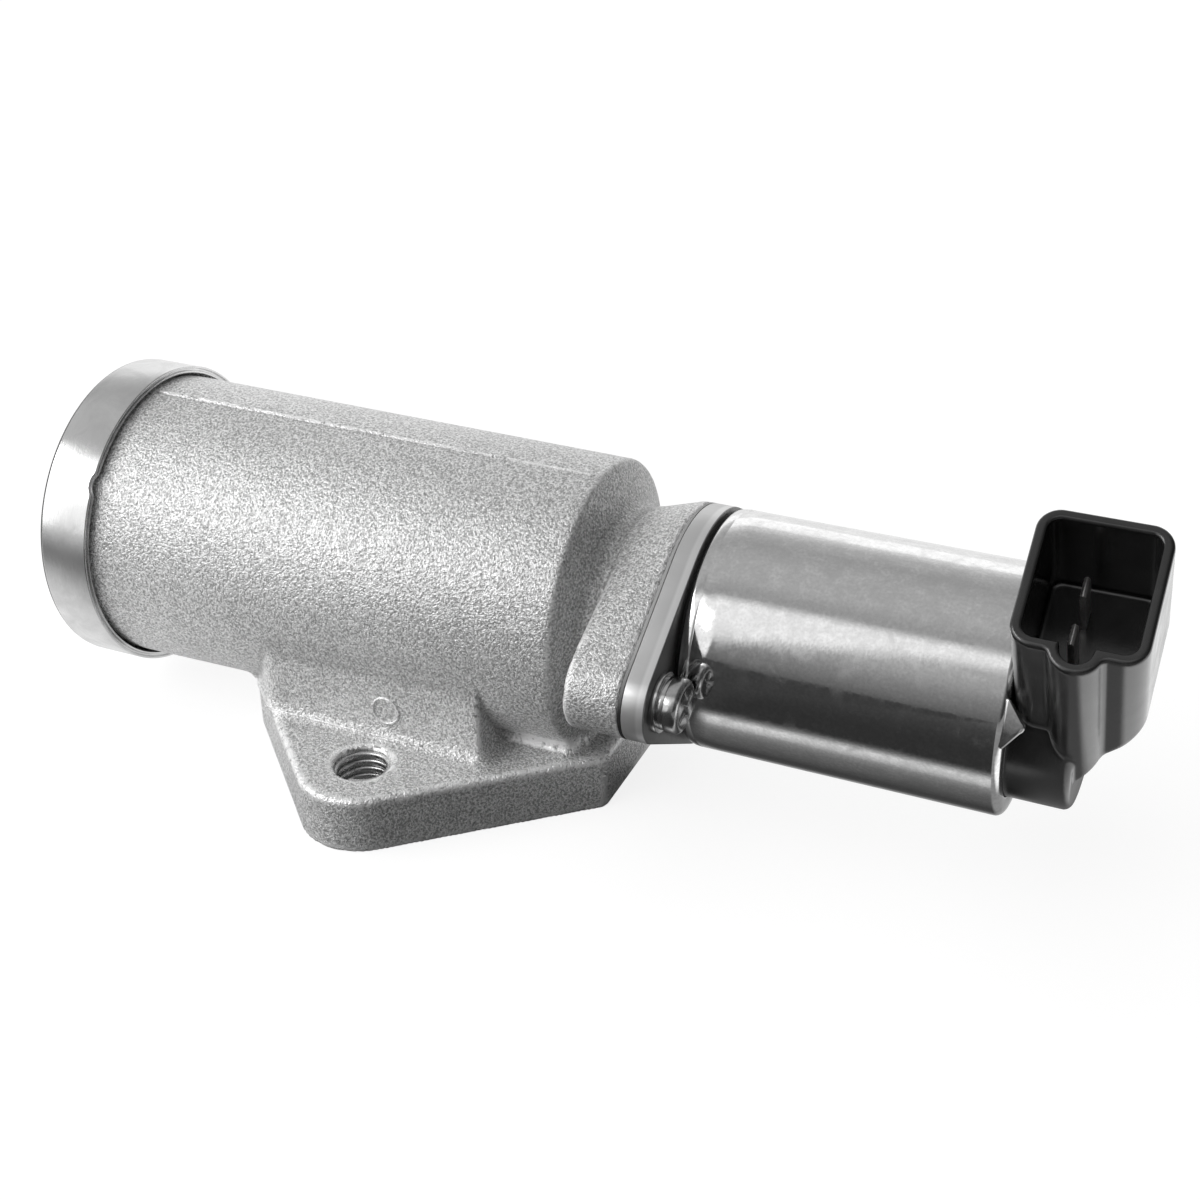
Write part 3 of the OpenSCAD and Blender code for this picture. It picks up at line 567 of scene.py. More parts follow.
def cast_aluminium():
    """Sand-blasted casting: evenly pebbled, with a few edges rubbed bright, partly as painted highlights.

    By place it carries painted light: a little lighter behind the parting line, a painted shadow under the
    cap's lower edge, painted shade towards the right in its upper part and painted shade in its hollows.
    """
    f = Finish("cast_aluminium", (0.80, 0.80, 0.80), 0.60, 0.40)
    rotated = f.node("ShaderNodeMapping", {"Vector": f.place, "Rotation": (0.6, 0.4, 0.3)}).outputs[0]
    pebble = f.noise(2600, 1.0, 0.5, place=rotated, warp=0.2)
    grain = f.noise(5200, 1.0, 0.5, place=rotated)
    patch = f.noise(55, 3.0, 0.55)
    rub = f.noise(700, 2.0, 0.6)
    where = f.where()
    across = where["X"]
    rise = f.math("SUBTRACT", where["Z"], AXIS_H * MM)
    # Painted light: the barrel's top behind the parting line is made up to 15% lighter, most towards the
    # left.
    behind = f.math("ADD", f.times(where["Y"], math.cos(PARTING)), f.times(rise, math.sin(PARTING)))
    behind = f.times(f.span(behind, 0.0, 0.3 * MM), f.span(rise, 12 * MM, 14 * MM))
    behind = f.times(behind, f.span(across, BARREL_RIGHT * MM, (BARREL_RIGHT - 0.5) * MM))
    behind = f.times(behind, f.span(across, -45 * MM, 12 * MM, 0.15, 0.0))
    # Painted shadow: next to the cap's lower edge the barrel is darkened to 0.08 of its tone.
    under = f.span(rise, -6 * MM, -19 * MM)
    lip = f.span(across, (CAP_END + 0.3) * MM, (CAP_END + 1.1) * MM, 1.0, 0.0)
    # Painted shade: the upper part darkens towards the right, to 0.88 of its tone.
    right = f.times(f.span(across, -5 * MM, 30 * MM), f.span(rise, -14 * MM, -10 * MM))
    tone = f.times(f.span(pebble, 0.35, 0.65, 0.48, 1.0), f.span(grain, 0.3, 0.7, 0.72, 1.16))
    tone = f.times(tone, f.span(patch, 0.3, 0.7, 0.95, 1.02))
    tone = f.times(tone, f.math("ADD", behind, 1.0))
    tone = f.times(tone, f.span(f.times(lip, under), 0.0, 1.0, 1.0, 0.08))
    tone = f.times(tone, f.span(right, 0.0, 1.0, 1.0, 0.88))
    # Rubbed edges and painted highlights: where this attribute is high, the casting turns white.
    wear_and_highlight = f.times(f.attribute("wear_and_highlight"), f.span(rub, 0.38, 0.50))
    # Painted shade: hollows and corners darken towards 0.2 through the hollow attribute.
    base = f.blend(f.times(f.attribute("hollow"), 0.35), tone, 0.2)
    f.colour(f.blend(wear_and_highlight, base, 1.0))
    f.roughness(f.span(wear_and_highlight, 0.0, 1.0, 0.42, 0.30))
    f.bump(pebble, 0.18, 1.0)
    f.bump(grain, 0.05, 0.9)
    return f.material


def machined_aluminium():
    """Bored and milled faces of the casting, with fine tool lines."""
    f = Finish("machined_aluminium", (0.68, 0.68, 0.69), 1.0, 0.28)
    lines = f.noise(900, 2.0, 0.6, place=f.stretched((6, 0.4, 0.4)))
    patch = f.noise(60, 2.0)
    f.colour(f.blend(f.span(patch, 0.3, 0.7), 0.58, 0.72))
    f.roughness(f.span(lines, 0.3, 0.7, 0.22, 0.38))
    f.bump(lines, 0.02, 0.6)
    return f.material


def bright_steel():
    """Pressed steel with a bright plate, stained and finely brushed round. Its end's round edge is painted
    dark as a line of shade.
    """
    f = Finish("bright_steel", (0.80, 0.80, 0.81), 1.0, 0.16)
    where = f.where()
    across = where["X"]
    rise = f.math("SUBTRACT", where["Z"], AXIS_H * MM)
    squares = f.math("ADD", f.times(where["Y"], where["Y"]), f.times(rise, rise))
    radius = f.math("SQRT", squares)
    stain = f.noise(150, 4.0, 0.6, warp=0.6)
    fine = f.noise(2600, 2.0, 0.6, place=f.stretched((1, 0.25, 0.25)))
    soft = f.noise(60, 2.0, 0.5)
    # Painted shade: the round edge of the cap's end is a dark, non-metallic line.
    edge = f.span(across, (CAP_X + 0.58) * MM, (CAP_X + 0.82) * MM)
    rim = BARREL_R + CAP_GAP + CAP_WALL
    edge = f.math("MAXIMUM", edge, f.span(radius, (rim - 0.78) * MM, (rim - 0.66) * MM, 1.0, 0.0))
    f.colour(f.blend(edge, 0.03, f.blend(f.span(stain, 0.35, 0.65), 0.74, 0.90)))
    f.links.new(edge, f.shader.inputs["Metallic"])
    f.links.new(f.span(edge, 0.0, 1.0, 0.05, 0.5), f.shader.inputs["Specular IOR Level"])
    f.roughness(f.span(stain, 0.3, 0.7, 0.26, 0.13))
    f.bump(soft, 0.12, 0.35)
    f.bump(stain, 0.035, 0.35)
    f.bump(fine, 0.02, 0.6)
    return f.material


def polished_can():
    """Drawn can: nearly a mirror, with shallow waves along it, handling marks and fine scratches."""
    f = Finish("polished_can", (0.82, 0.82, 0.83), 1.0, 0.09)
    wave = f.noise(45, 2.0, 0.5, place=f.stretched((0.45, 1, 1)))
    dents = f.noise(190, 2.0, 0.5)
    scratch = f.noise(700, 3.0, 0.7, place=f.stretched((0.06, 1, 1)))
    marks = f.noise(420, 3.0, 0.65, warp=0.5)
    specks = f.noise(2200, 1.0, 0.5)
    f.colour(f.blend(f.span(marks, 0.35, 0.75), f.span(specks, 0.3, 0.7, 0.76, 0.92), 0.68))
    f.roughness(f.span(marks, 0.45, 0.75, 0.07, 0.24))
    f.bump(wave, 0.20, 0.30)
    f.bump(dents, 0.03, 0.28)
    f.bump(specks, 0.006, 0.5)
    f.bump(scratch, 0.004, 0.4)
    return f.material


def satin_plate():
    """Sheared steel plate: satin, with a burnished band along the cut edge and its face to the seal painted
    dark as shade.
    """
    f = Finish("satin_plate", (0.66, 0.66, 0.67), 0.8, 0.40)
    drag = f.noise(1400, 3.0, 0.6, place=f.stretched((0.12, 1, 1)))
    patch = f.noise(120, 3.0)
    across = f.where()["X"]
    burnish = f.span(across, (SEAL_X - 1.35) * MM, (SEAL_X - 0.95) * MM, 0.0, 1.0)
    base = f.blend(f.span(patch, 0.3, 0.7), 0.56, 0.64)
    base = f.blend(f.times(burnish, 0.6), base, 0.86)
    # Painted shade: the plate's face to the seal is darkened to 0.26.
    f.colour(f.blend(f.span(across, (SEAL_X - 0.22) * MM, (SEAL_X - 0.1) * MM), base, 0.26))
    f.roughness(f.span(drag, 0.3, 0.7, 0.36, 0.46))
    f.bump(drag, 0.02, 0.5)
    return f.material


def plated_steel(name, tone, rough, warm=0.0):
    """Small turned and pressed steel parts with a thin bright plate."""
    f = Finish(name, (tone, tone, tone), 1.0, rough)
    patch = f.noise(500, 3.0, 0.6)
    fine = f.noise(3000, 2.0, 0.6)
    dark = (tone * 0.72, tone * (0.72 - warm), tone * (0.72 - 2 * warm), 1)
    light = (tone * 1.08, tone * (1.08 - warm), tone * (1.08 - 2 * warm), 1)
    f.colour(f.blend(f.span(patch, 0.3, 0.7), dark, light))
    f.roughness(f.span(patch, 0.3, 0.7, rough * 1.35, rough * 0.8))
    f.bump(fine, 0.015, 0.5)
    return f.material


def turned_brass():
    """Turned brass with fine rings."""
    f = Finish("turned_brass", (0.72, 0.53, 0.24), 1.0, 0.25)
    rings = f.noise(1600, 2.0, 0.6, place=f.stretched((1, 0.1, 0.1)))
    patch = f.noise(200, 3.0)
    f.colour(f.blend(f.span(patch, 0.3, 0.7), (0.60, 0.42, 0.18, 1), (0.80, 0.61, 0.30, 1)))
    f.roughness(f.span(rings, 0.3, 0.7, 0.18, 0.34))
    f.bump(rings, 0.015, 0.6)
    return f.material


def black_rubber():
    """Sealing rubber and gasket sheet; the gasket's edge is a lighter grey in its upper part."""
    f = Finish("black_rubber", (0.012, 0.012, 0.012), 0.0, 0.6)
    grain = f.noise(2200, 3.0, 0.6)
    where = f.where()
    # The gasket's edge turns a lighter grey towards the top.
    lighter_upper_edge = f.times(f.span(where["Z"], 28 * MM, 34 * MM),
                   f.span(where["X"], (GASKET_X + 0.7) * MM, (GASKET_X + 0.8) * MM, 1.0, 0.0))
    f.colour(f.blend(lighter_upper_edge, f.blend(f.span(grain, 0.3, 0.7), 0.008, 0.022), 0.30))
    f.roughness(f.span(grain, 0.3, 0.7, 0.5, 0.72))
    f.bump(grain, 0.03, 0.5)
    return f.material


def moulded_black():
    """Satin glass-filled moulding with a fine spark-eroded grain."""
    f = Finish("moulded_black", (0.009, 0.009, 0.0095), 0.0, 0.20, Specular_IOR_Level=0.9)
    grain = f.noise(2600, 2.0, 0.6)
    flow = f.noise(180, 3.0, 0.6, warp=0.5)
    f.colour(f.blend(f.span(flow, 0.3, 0.7), 0.006, 0.013))
    f.roughness(f.span(flow, 0.3, 0.7, 0.15, 0.25))
    f.bump(grain, 0.02, 0.45)
    f.bump(flow, 0.06, 0.25)
    return f.material


def wound_copper():
    """Enamelled wire, laid in fine turns round the bobbin."""
    f = Finish("wound_copper", (0.55, 0.22, 0.08), 1.0, 0.3, Coat_Weight=0.6)
    turns = f.node("ShaderNodeTexWave", {"Vector": f.place, "Scale": 600.0, "Distortion": 0.3},
                   bands_direction="X").outputs["Fac"]
    patch = f.noise(300, 2.0)
    f.colour(f.blend(f.span(patch, 0.3, 0.7), (0.42, 0.15, 0.05, 1), (0.62, 0.27, 0.10, 1)))
    f.roughness(f.span(patch, 0.3, 0.7, 0.26, 0.4))
    f.bump(turns, 0.12, 0.9)
    return f.material


FINISHES = {
    "cast_aluminium": cast_aluminium(),
    "bright_steel": bright_steel(),
    "black_rubber": black_rubber(),
    "brass": turned_brass(),
    "turned_aluminium": machined_aluminium(),
    "plain_steel": plated_steel("plain_steel", 0.50, 0.36),
    "zinc_steel": plated_steel("zinc_steel", 0.66, 0.17),
    "spring_steel": plated_steel("spring_steel", 0.58, 0.26),
    "ground_steel": plated_steel("ground_steel", 0.76, 0.14),
    "satin_plate": satin_plate(),
    "polished_can": polished_can(),
    "black_plastic": moulded_black(),
    "copper_wire": wound_copper(),
    "tinned_brass": plated_steel("tinned_brass", 0.92, 0.40, 0.01),
}


def finish_nodes():
    """Gives every CAD node the finish that its record slot names."""
    for part in frame["record"]["subparts"]:
        node = frame["nodes"][part["node"]]
        finish = FINISHES[part["material_slot"]]
        if node.material_slots:
            for place in node.material_slots:
                place.material = finish
        else:
            node.data.materials.append(finish)


# Pieces


def bevelled_copy(node, name, width, segments):
    """A copy of a CAD node's mesh with its doubles merged and its edges rounded."""
    piece = frame["nodes"][node].copy()
    piece.data = piece.data.copy()
    piece.name = name
    piece.parent = None
    piece.matrix_world = Matrix()
    bpy.context.scene.collection.objects.link(piece)
    weld = piece.modifiers.new("weld", "WELD")
    weld.merge_threshold = 0.002 * MM
    flat = piece.modifiers.new("flat", "DECIMATE")
    flat.decimate_type = "DISSOLVE"
    flat.angle_limit = math.radians(0.6)
    round_edges(piece, width, segments, 28)
    piece.data.set_sharp_from_angle(angle=math.radians(32))
    return piece


def wound_tree():
    """Node tree for a round or edged section wound along a helix that rises along Z."""
    tree = bpy.data.node_groups.new("wound_section", "GeometryNodeTree")
    face = tree.interface
    number, whole, material = "NodeSocketFloat", "NodeSocketInt", "NodeSocketMaterial"
    ids = {}
    for name, kind in (("Radius", number), ("Pitch", number), ("Turns", number), ("Section Radius", number),
                       ("Section Sides", whole), ("Finish", material)):
        ids[name] = face.new_socket(name, in_out="INPUT", socket_type=kind).identifier
    face.new_socket("Geometry", in_out="OUTPUT", socket_type="NodeSocketGeometry")
    t = Tree(tree)
    given = t.node("NodeGroupInput").outputs
    height = t.times(given["Pitch"], given["Turns"])
    spiral = t.node("GeometryNodeCurveSpiral", {
        "Resolution": 40, "Rotations": given["Turns"], "Start Radius": given["Radius"],
        "End Radius": given["Radius"], "Height": height}).outputs[0]
    upright = t.node("GeometryNodeSetCurveNormal", {"Curve": spiral}, mode="Z_UP").outputs[0]
    section = t.node("GeometryNodeCurvePrimitiveCircle", {
        "Resolution": given["Section Sides"], "Radius": given["Section Radius"]}).outputs[0]
    sweep = t.node("GeometryNodeCurveToMesh", {
        "Curve": upright, "Profile Curve": section, "Fill Caps": True}).outputs[0]
    real = t.node("GeometryNodeRealizeInstances", {0: sweep}).outputs[0]
    finished = t.node("GeometryNodeSetMaterial", {"Geometry": real, "Material": given["Finish"]}).outputs[0]
    t.node("NodeGroupOutput", {0: finished})
    return tree, ids


WOUND, WOUND_IDS = wound_tree()


def wound_piece(name, radius, pitch, turns, section, sides, finish, place):
    """A helix of the given section, moved to its place with a matrix in metres."""
    piece = new_piece(name, [(0, 0, 0)], [])
    maker = piece.modifiers.new("winding", "NODES")
    maker.node_group = WOUND
    sizes = {"Radius": radius * MM, "Pitch": pitch * MM, "Turns": float(turns),
             "Section Radius": section * MM, "Section Sides": sides, "Finish": finish}
    for key, value in sizes.items():
        maker[WOUND_IDS[key]] = value
    settle_modifiers(piece)
    piece.data.transform(place)
    return piece


def mesh_points(mesh):
    """A mesh's points as rows, in millimetres."""
    points = np.empty(len(mesh.vertices) * 3)
    mesh.vertices.foreach_get("co", points)
    return points.reshape(-1, 3) / MM


def mark_wear(mesh, field):
    """Writes how far each point lies on an outer edge, where wear and painted highlights show, or in a
    corner, where painted shade darkens it.

    The flange's edge wears soonest and the shoulder's edge stays crisp. What stands proud of the field is
    rubbed bright, partly as a painted highlight, and the front of the fillet under the neck gets a painted
    highlight.
    """
    x, y, z = mesh_points(mesh).T
    e = 0.7
    bend = (field(x + e, y, z) + field(x - e, y, z) + field(x, y + e, z) + field(x, y - e, z)
            + field(x, y, z + e) + field(x, y, z - e) - 6 * field(x, y, z)) / e ** 2
    wear_and_highlight_from, wear_and_highlight_span = 0.5, 0.6
    corner_shade_from, corner_shade_span = 0.15, 0.5
    crisp = (np.abs(x - BARREL_RIGHT) < 2.5) & (z > FLANGE_T + 4)
    sooner = np.where(z < FLANGE_T + 1.5, 0.35, 0.0)
    wear_and_highlight = (bend - wear_and_highlight_from + sooner) / wear_and_highlight_span * np.where(crisp, 0.2, 1)
    # Painted highlight along the front of the fillet under the neck.
    left, right, front = 18, 30, -11
    low, high = FLANGE_T + 0.4, FLANGE_T + 2.6
    painted_highlight_streak = (x > left) & (x < right) & (y < front) & (z > low) & (z < high)
    # Raised lines are rubbed bright, which also paints their highlight.
    proud = field(x, y, z) > 0.08
    wear_and_highlight = np.maximum(wear_and_highlight, painted_highlight_streak | proud)
    # Painted shade: how deep in a corner a point lies, which darkens the casting there.
    hollow = (-bend - corner_shade_from) / corner_shade_span
    for name, value in (("wear_and_highlight", wear_and_highlight), ("hollow", hollow)):
        layer = mesh.attributes.new(name, "FLOAT", "POINT")
        layer.data.foreach_set("value", np.clip(value, 0, 1).astype(np.float32))


def mark_machined(mesh):
    """Gives the bored and milled faces of the casting their own finish."""
    centres = np.empty(len(mesh.polygons) * 3)
    mesh.polygons.foreach_get("center", centres)
    x, y, z = centres.reshape(-1, 3).T / MM
    near = 0.06
    bored = np.abs(bores_field(x, y, z)) < near
    milled = (z < near) | (x > GASKET_X - near)
    mesh.polygons.foreach_set("material_index", (bored | milled).astype(np.int32))


def ridge(name, path, across, out, widths, heights):
    """A low ridge along a path: a strip of points across it, sunk a little at both sides."""
    rows = []
    for point, side, up in zip(path, across, out):
        rows.append([point + side * w + up * h for w, h in zip(widths, heights)])
    count = len(widths)
    faces = strip_faces(len(rows), count)
    faces.append(list(range(count))[::-1])
    faces.append([(len(rows) - 1) * count + k for k in range(count)])
    return new_piece(name, np.array(rows).reshape(-1, 3), faces)


def parting_line():
    """The mould's parting line along the top of the barrel, fainter towards both ends."""
    xs = np.linspace(CAP_END + 0.6, BARREL_RIGHT - 1.2, 90)
    out = np.array([0, -math.sin(PARTING), math.cos(PARTING)])
    along = np.array([0, math.cos(PARTING), math.sin(PARTING)])
    axis = np.array([0, 0, AXIS_H])
    path = [axis + np.array([x, 0, 0]) + out * (BARREL_R - BARREL_DRAFT * (x - BODY_LEFT)) for x in xs]
    wander = np.random.default_rng(4).normal(0, 0.12, len(xs))
    fade = np.interp(xs, (CAP_END, CAP_END + 5, -29, BARREL_RIGHT), (0.5, 1.0, 1.0, 0.45))
    up = [out * (1 + w) * share for w, share in zip(wander, fade)]
    widths = (-0.55, -0.45, -0.16, -0.05, 0.08, 0.3)
    heights = (-0.12, -0.02, 0.30, 0.34, 0.30, -0.12)
    return ridge("parting_line", path, [along] * len(xs), up, widths, heights)


def foot_line():
    """The thin raised line where the block's front wall runs out into the flange."""
    count = 50
    off, lean = 0.9, 0.71
    xs = np.linspace(BLOCK_LEFT + 3, BLOCK_RIGHT - 9, count)
    rows = np.stack([xs, np.full(count, -BLOCK_HALF - off), np.full(count, FLANGE_T + off)], axis=1)
    path = settle(casting_field, rows, 1.5)
    along, up = np.array([0, lean, lean]), np.array([0, -lean, lean])
    widths = (-0.24, -0.08, 0.08, 0.24)
    heights = (-0.12, 0.15, 0.15, -0.12)
    return ridge("foot_line", path, [along] * count, [up] * count, widths, heights)


def foundry_ring():
    """The small raised ring on the front wall of the block."""
    turns = np.linspace(0, 2 * math.pi, 49)[:-1]
    centre = np.array(RING_PLACE)
    rows = []
    section = ((-0.26, -0.3), (-0.12, 0.24), (0.12, 0.24), (0.26, -0.3))
    for t in turns:
        arm = np.array([math.cos(t), 0, math.sin(t)])
        rows.append([centre + arm * (RING_R + dr) + np.array([0, -up, 0]) for dr, up in section])
    faces = strip_faces(len(turns), len(section), closed=True, flipped=True)
    return new_piece("foundry_ring", np.array(rows).reshape(-1, 3), faces)


def casting():
    """The aluminium body: one casting with its bores, tapped holes, parting line and ring."""
    margin = 0.85
    low = (BODY_LEFT - margin, -EAR_REACH - margin, -margin)
    high = (GASKET_X + margin, EAR_REACH + margin, AXIS_H + BARREL_R + margin)
    points, quads = skin(casting_field, low, high, 0.55)
    piece = new_piece("casting", points, quads)
    piece.data.materials.append(FINISHES["cast_aluminium"])
    piece.data.materials.append(FINISHES["turned_aluminium"])
    mark_machined(piece.data)
    thin = piece.modifiers.new("thin", "DECIMATE")
    thin.ratio = 0.72
    settle_modifiers(piece)
    points = settle(casting_field, mesh_points(piece.data), 0.3)
    points[:, 2] = np.maximum(points[:, 2], 0)
    piece.data.vertices.foreach_set("co", (points * MM).ravel())
    details = [parting_line(), foot_line(), foundry_ring()]
    for detail in details:
        detail.data.materials.append(FINISHES["cast_aluminium"])
    thread_start, thread_section = 0.6, 0.62
    turns = (FLANGE_T - 1.2) / THREAD_PITCH
    for side in (-1, 1):
        place = Matrix.Translation(Vector((0, side * EAR_Y, thread_start)) * MM)
        details.append(wound_piece("thread", THREAD_ROOT + 0.05, THREAD_PITCH, turns, thread_section, 4,
                                   FINISHES["turned_aluminium"], place))
    join(piece, details)
    mark_wear(piece.data, casting_field)
    piece.data.shade_smooth()
    dress(piece, "casing", ["valve_body"])
    return piece


def connector():
    """The black moulded connector with its tilted socket and key rib."""
    margin, half = 0.6, 17.5
    low = (PLUG_X - margin, -half, -half)
    high = (SOCKET_OUT + margin, half, MOUTH_H + 0.7)
    points, quads = skin(connector_field, low, high, 0.33)
    cosine, sine = math.cos(SOCKET_TILT), math.sin(SOCKET_TILT)
    x, y, z = points.T
    turned = np.stack([x, y * cosine - z * sine, AXIS_H + y * sine + z * cosine], axis=1)
    piece = new_piece("connector_moulding", turned, quads)
    dress(piece, "casing", ["connector_housing"], FINISHES["black_plastic"])
    return piece


def rounded(points):
    """A closed outline of (x, radius, corner radius) points with its corners turned into arcs."""
    result = []
    count = len(points)
    arc_step = math.radians(15)
    for i in range(count):
        here = np.array(points[i][:2], dtype=float)
        before = np.array(points[i - 1][:2]) - here
        after = np.array(points[(i + 1) % count][:2]) - here
        corner = points[i][2]
        if corner <= 0:
            result.append(here)
            continue
        before /= np.linalg.norm(before)
        after /= np.linalg.norm(after)
        half = math.acos(max(-1.0, min(1.0, float(before @ after)))) / 2
        reach_back = corner / math.tan(half)
        centre = here + (before + after) / np.linalg.norm(before + after) * corner / math.sin(half)
        start = here + before * reach_back - centre
        end = here + after * reach_back - centre
        sweep = math.atan2(start[0] * end[1] - start[1] * end[0], float(start @ end))
        steps = max(2, int(abs(sweep) / arc_step) + 1)
        for s in range(steps + 1):
            t = sweep * s / steps
            c, n = math.cos(t), math.sin(t)
            result.append(centre + np.array([start[0] * c - start[1] * n, start[0] * n + start[1] * c]))
    return result


def turned_piece(name, outline, segments=240, dent=None):
    """A ring turned round the valve axis from a closed outline of (x, radius) points."""
    profile = np.array(rounded(outline))
    turns = np.linspace(0, 2 * math.pi, segments + 1)[:-1]
    x = np.repeat(profile[:, 0][None, :], segments, axis=0)
    r = np.repeat(profile[:, 1][None, :], segments, axis=0)
    a = np.repeat(turns[:, None], len(profile), axis=1)
    if dent is not None:
        x, r = dent(x, r, a)
    points = np.stack([x, -r * np.sin(a), AXIS_H + r * np.cos(a)], axis=2).reshape(-1, 3)
    piece = new_piece(name, points, strip_faces(segments, len(profile), closed=True))
    piece.data.set_sharp_from_angle(angle=math.radians(40))
    return piece


def close_axis(piece):
    """Merges the points of a turned piece that lie on its axis."""
    weld = piece.modifiers.new("weld", "WELD")
    weld.merge_threshold = 0.001 * MM
    return settle_modifiers(piece)


def end_cap():
    """The pressed cap: a plain cup with a fine groove and a small notch in the edge of its skirt."""
    inner = BARREL_R + CAP_GAP
    outer = inner + CAP_WALL
    face = CAP_X + CAP_WALL
    edge_width = 1.4
    notch_at, notch_half, notch_depth = math.radians(54), math.radians(3.2), 0.6

    def dent(x, r, a):
        """Lets the skirt's edge wander a little and cuts the notch in it."""
        edge = np.clip((x - (CAP_END - edge_width)) / edge_width, 0, 1)
        notch = np.exp(-((a - notch_at) / notch_half) ** 4)
        wave = 0.05 * np.sin(3 * a + 0.6) + 0.03 * np.sin(7 * a) - 0.08
        return x + edge * (wave - notch_depth * notch) * (r > inner + 0.2), r

    outline = [(CAP_X, 0, 0), (CAP_X, outer, 0.9), (CAP_END, outer, 0.2), (CAP_END, inner + 1.15, 0.08),
               (CAP_END - 0.5, inner + 1.05, 0.05), (CAP_END - 0.5, inner + 0.8, 0.05),
               (CAP_END, inner + 0.7, 0.08), (CAP_END, inner + 0.42, 0.1), (CAP_END - 0.8, inner, 0.1),
               (face, inner, 0.8), (face, 0, 0)]
    piece = close_axis(turned_piece("cap_pressing", outline, 360, dent))
    dress(piece, "casing", ["end_cap"], FINISHES["bright_steel"])
    return piece


def can_tongue(side):
    """A staked tongue of the can's rim, bent out over the connector's base beside the socket."""
    half, out, tip_r, rooted = 3.4, 2.4, 0.9, 0.5
    shape = [(-rooted, -half), (0.0, -half)]
    for step in range(9):
        t = math.radians(-60 + 15 * step)
        shape.append((out - tip_r + tip_r * math.cos(t), tip_r * math.sin(t)))
    shape += [(0.0, half), (-rooted, half)]
    base = CAN_R - CAN_WALL
    points, faces = [], []
    for rise in (0.0, CAN_WALL):
        for px, py in shape:
            points.append((CAN_END + px, py, base + rise - 0.02 * py * py))
    n = len(shape)
    faces.append(list(range(n)))
    faces.append(list(range(2 * n - 1, n - 1, -1)))
    faces += strip_faces(2, n, flipped=True)
    angle = SOCKET_TILT - side * math.radians(39)
    c, s = math.cos(angle), math.sin(angle)
    points = [(x, y * c - z * s, AXIS_H + y * s + z * c) for x, y, z in points]
    piece = new_piece("tongue", points, faces)
    round_edges(piece, 0.35, 3, 40)
    return piece


def solenoid_can():
    """The drawn can with its rolled rim and two staked tongues."""
    wall = CAN_WALL
    core = 8.93
    bend, drop = 1.4, 0.6
    spacing = 3.4

    def dent(x, r, a):
        """Gives the outer wall slight waves and two shallow knocks near its front edge."""
        shell = np.clip((r - (CAN_R - wall - 0.1)) / 0.2, 0, 1)
        near_edge = np.exp(-((x - CAN_X - 4.5) / 2.2) ** 2)
        knocks = 0
        for depth, at, half in ((0.05, 58, 5), (0.04, 76, 4)):
            knocks = knocks + depth * np.exp(-((a - math.radians(at)) / math.radians(half)) ** 2)
        waves = 0.03 * np.sin(2 * a + 0.02 * x) + 0.02 * np.sin(5 * a + 0.05 * x)
        return x, r - shell * (near_edge * knocks + 0.5 * waves + 0.02)

    stations = [(CAN_X + wall + step * spacing, CAN_R, 0) for step in range(1, 12)]
    arc = [math.radians(t) for t in range(0, 91, 10)]
    closed = [(CAN_X + bend * (1 - math.cos(t)), CAN_R - drop * (1 - math.sin(t)), 0) for t in arc]
    groove = [(CAN_X + bend + g, CAN_R - d, 0) for g, d in ((0.1, 0), (0.2, 0.05), (0.35, 0.05), (0.45, 0))]
    outline = [(CAN_X, core, 0), *closed, *groove, *stations, (CAN_END, CAN_R, 1.1),
               (CAN_END, BASE_R + 0.1, 0.3), (CAN_END - 1.1, BASE_R + 0.1, 0.2),
               (CAN_END - 1.1, CAN_R - wall, 0), (CAN_X + wall, CAN_R - wall, 0.6), (CAN_X + wall, core, 0)]
    piece = turned_piece("can_shell", outline, 300, dent)
    join(piece, [can_tongue(-1), can_tongue(1)])
    dress(piece, "casing", ["solenoid_can"], FINISHES["polished_can"])
    return piece


def small_parts():
    """Rounded copies of the plates, washers, screws and blades that the photograph shows."""
    copies = (("solenoid_plate", "sheared_plate", 0.16, 3), ("solenoid_gasket", "gasket_sheet", 0.08, 1),
              ("flat_washers", "washers_flat", 0.15, 2), ("lock_washers", "washers_split", 0.12, 2),
              ("solenoid_screws", "pan_head_screws", 0.18, 2), ("terminal_front", "blade_front", 0.2, 2),
              ("terminal_rear", "blade_rear", 0.2, 2))
    slots = {part["node"]: part["material_slot"] for part in frame["record"]["subparts"]}
    for node, name, width, segments in copies:
        piece = bevelled_copy(node, name, width, segments)
        dress(piece, "casing", [node], FINISHES[slots[node]])


def return_spring():
    """The return spring, as a fixed coil; the real one shortens as the valve opens."""
    wire, coil, length, travel = 0.6, 6.0, 12.0, 3.5
    start = SPRING_X + 1.2
    turns = 5
    pitch = (length - 2 * wire - 0.04) / turns
    shift = Matrix.Translation(Vector((start + wire + 0.02, 0, AXIS_H)) * MM)
    along = shift @ Matrix.Rotation(math.pi / 2, 4, "Y")
    piece = wound_piece("spring_coil", coil, pitch, turns, wire, 14, FINISHES["spring_steel"], along)
    piece.data.shade_smooth()
    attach(piece, "casing")
    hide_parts("return_spring")
    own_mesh(piece)
    return piece


# Stage


def camera():
    """The camera at the photograph's viewing angle."""
    forward = Vector(CAMERA_FORWARD).normalized()
    up = Vector(CAMERA_UP).normalized()
    right = forward.cross(up).normalized()
    up = right.cross(forward)
    lens = bpy.data.cameras.new("camera")
    lens.lens = CAMERA_LENS
    lens.sensor_width = CAMERA_SENSOR
    lens.clip_start = 0.01
    lens.clip_end = 20
    eye = bpy.data.objects.new("camera", lens)
    turn = Matrix((right, up, -forward)).transposed().to_4x4()
    eye.matrix_world = Matrix.Translation(CAMERA_PLACE) @ turn
    bpy.context.scene.collection.objects.link(eye)
    bpy.context.scene.camera = eye


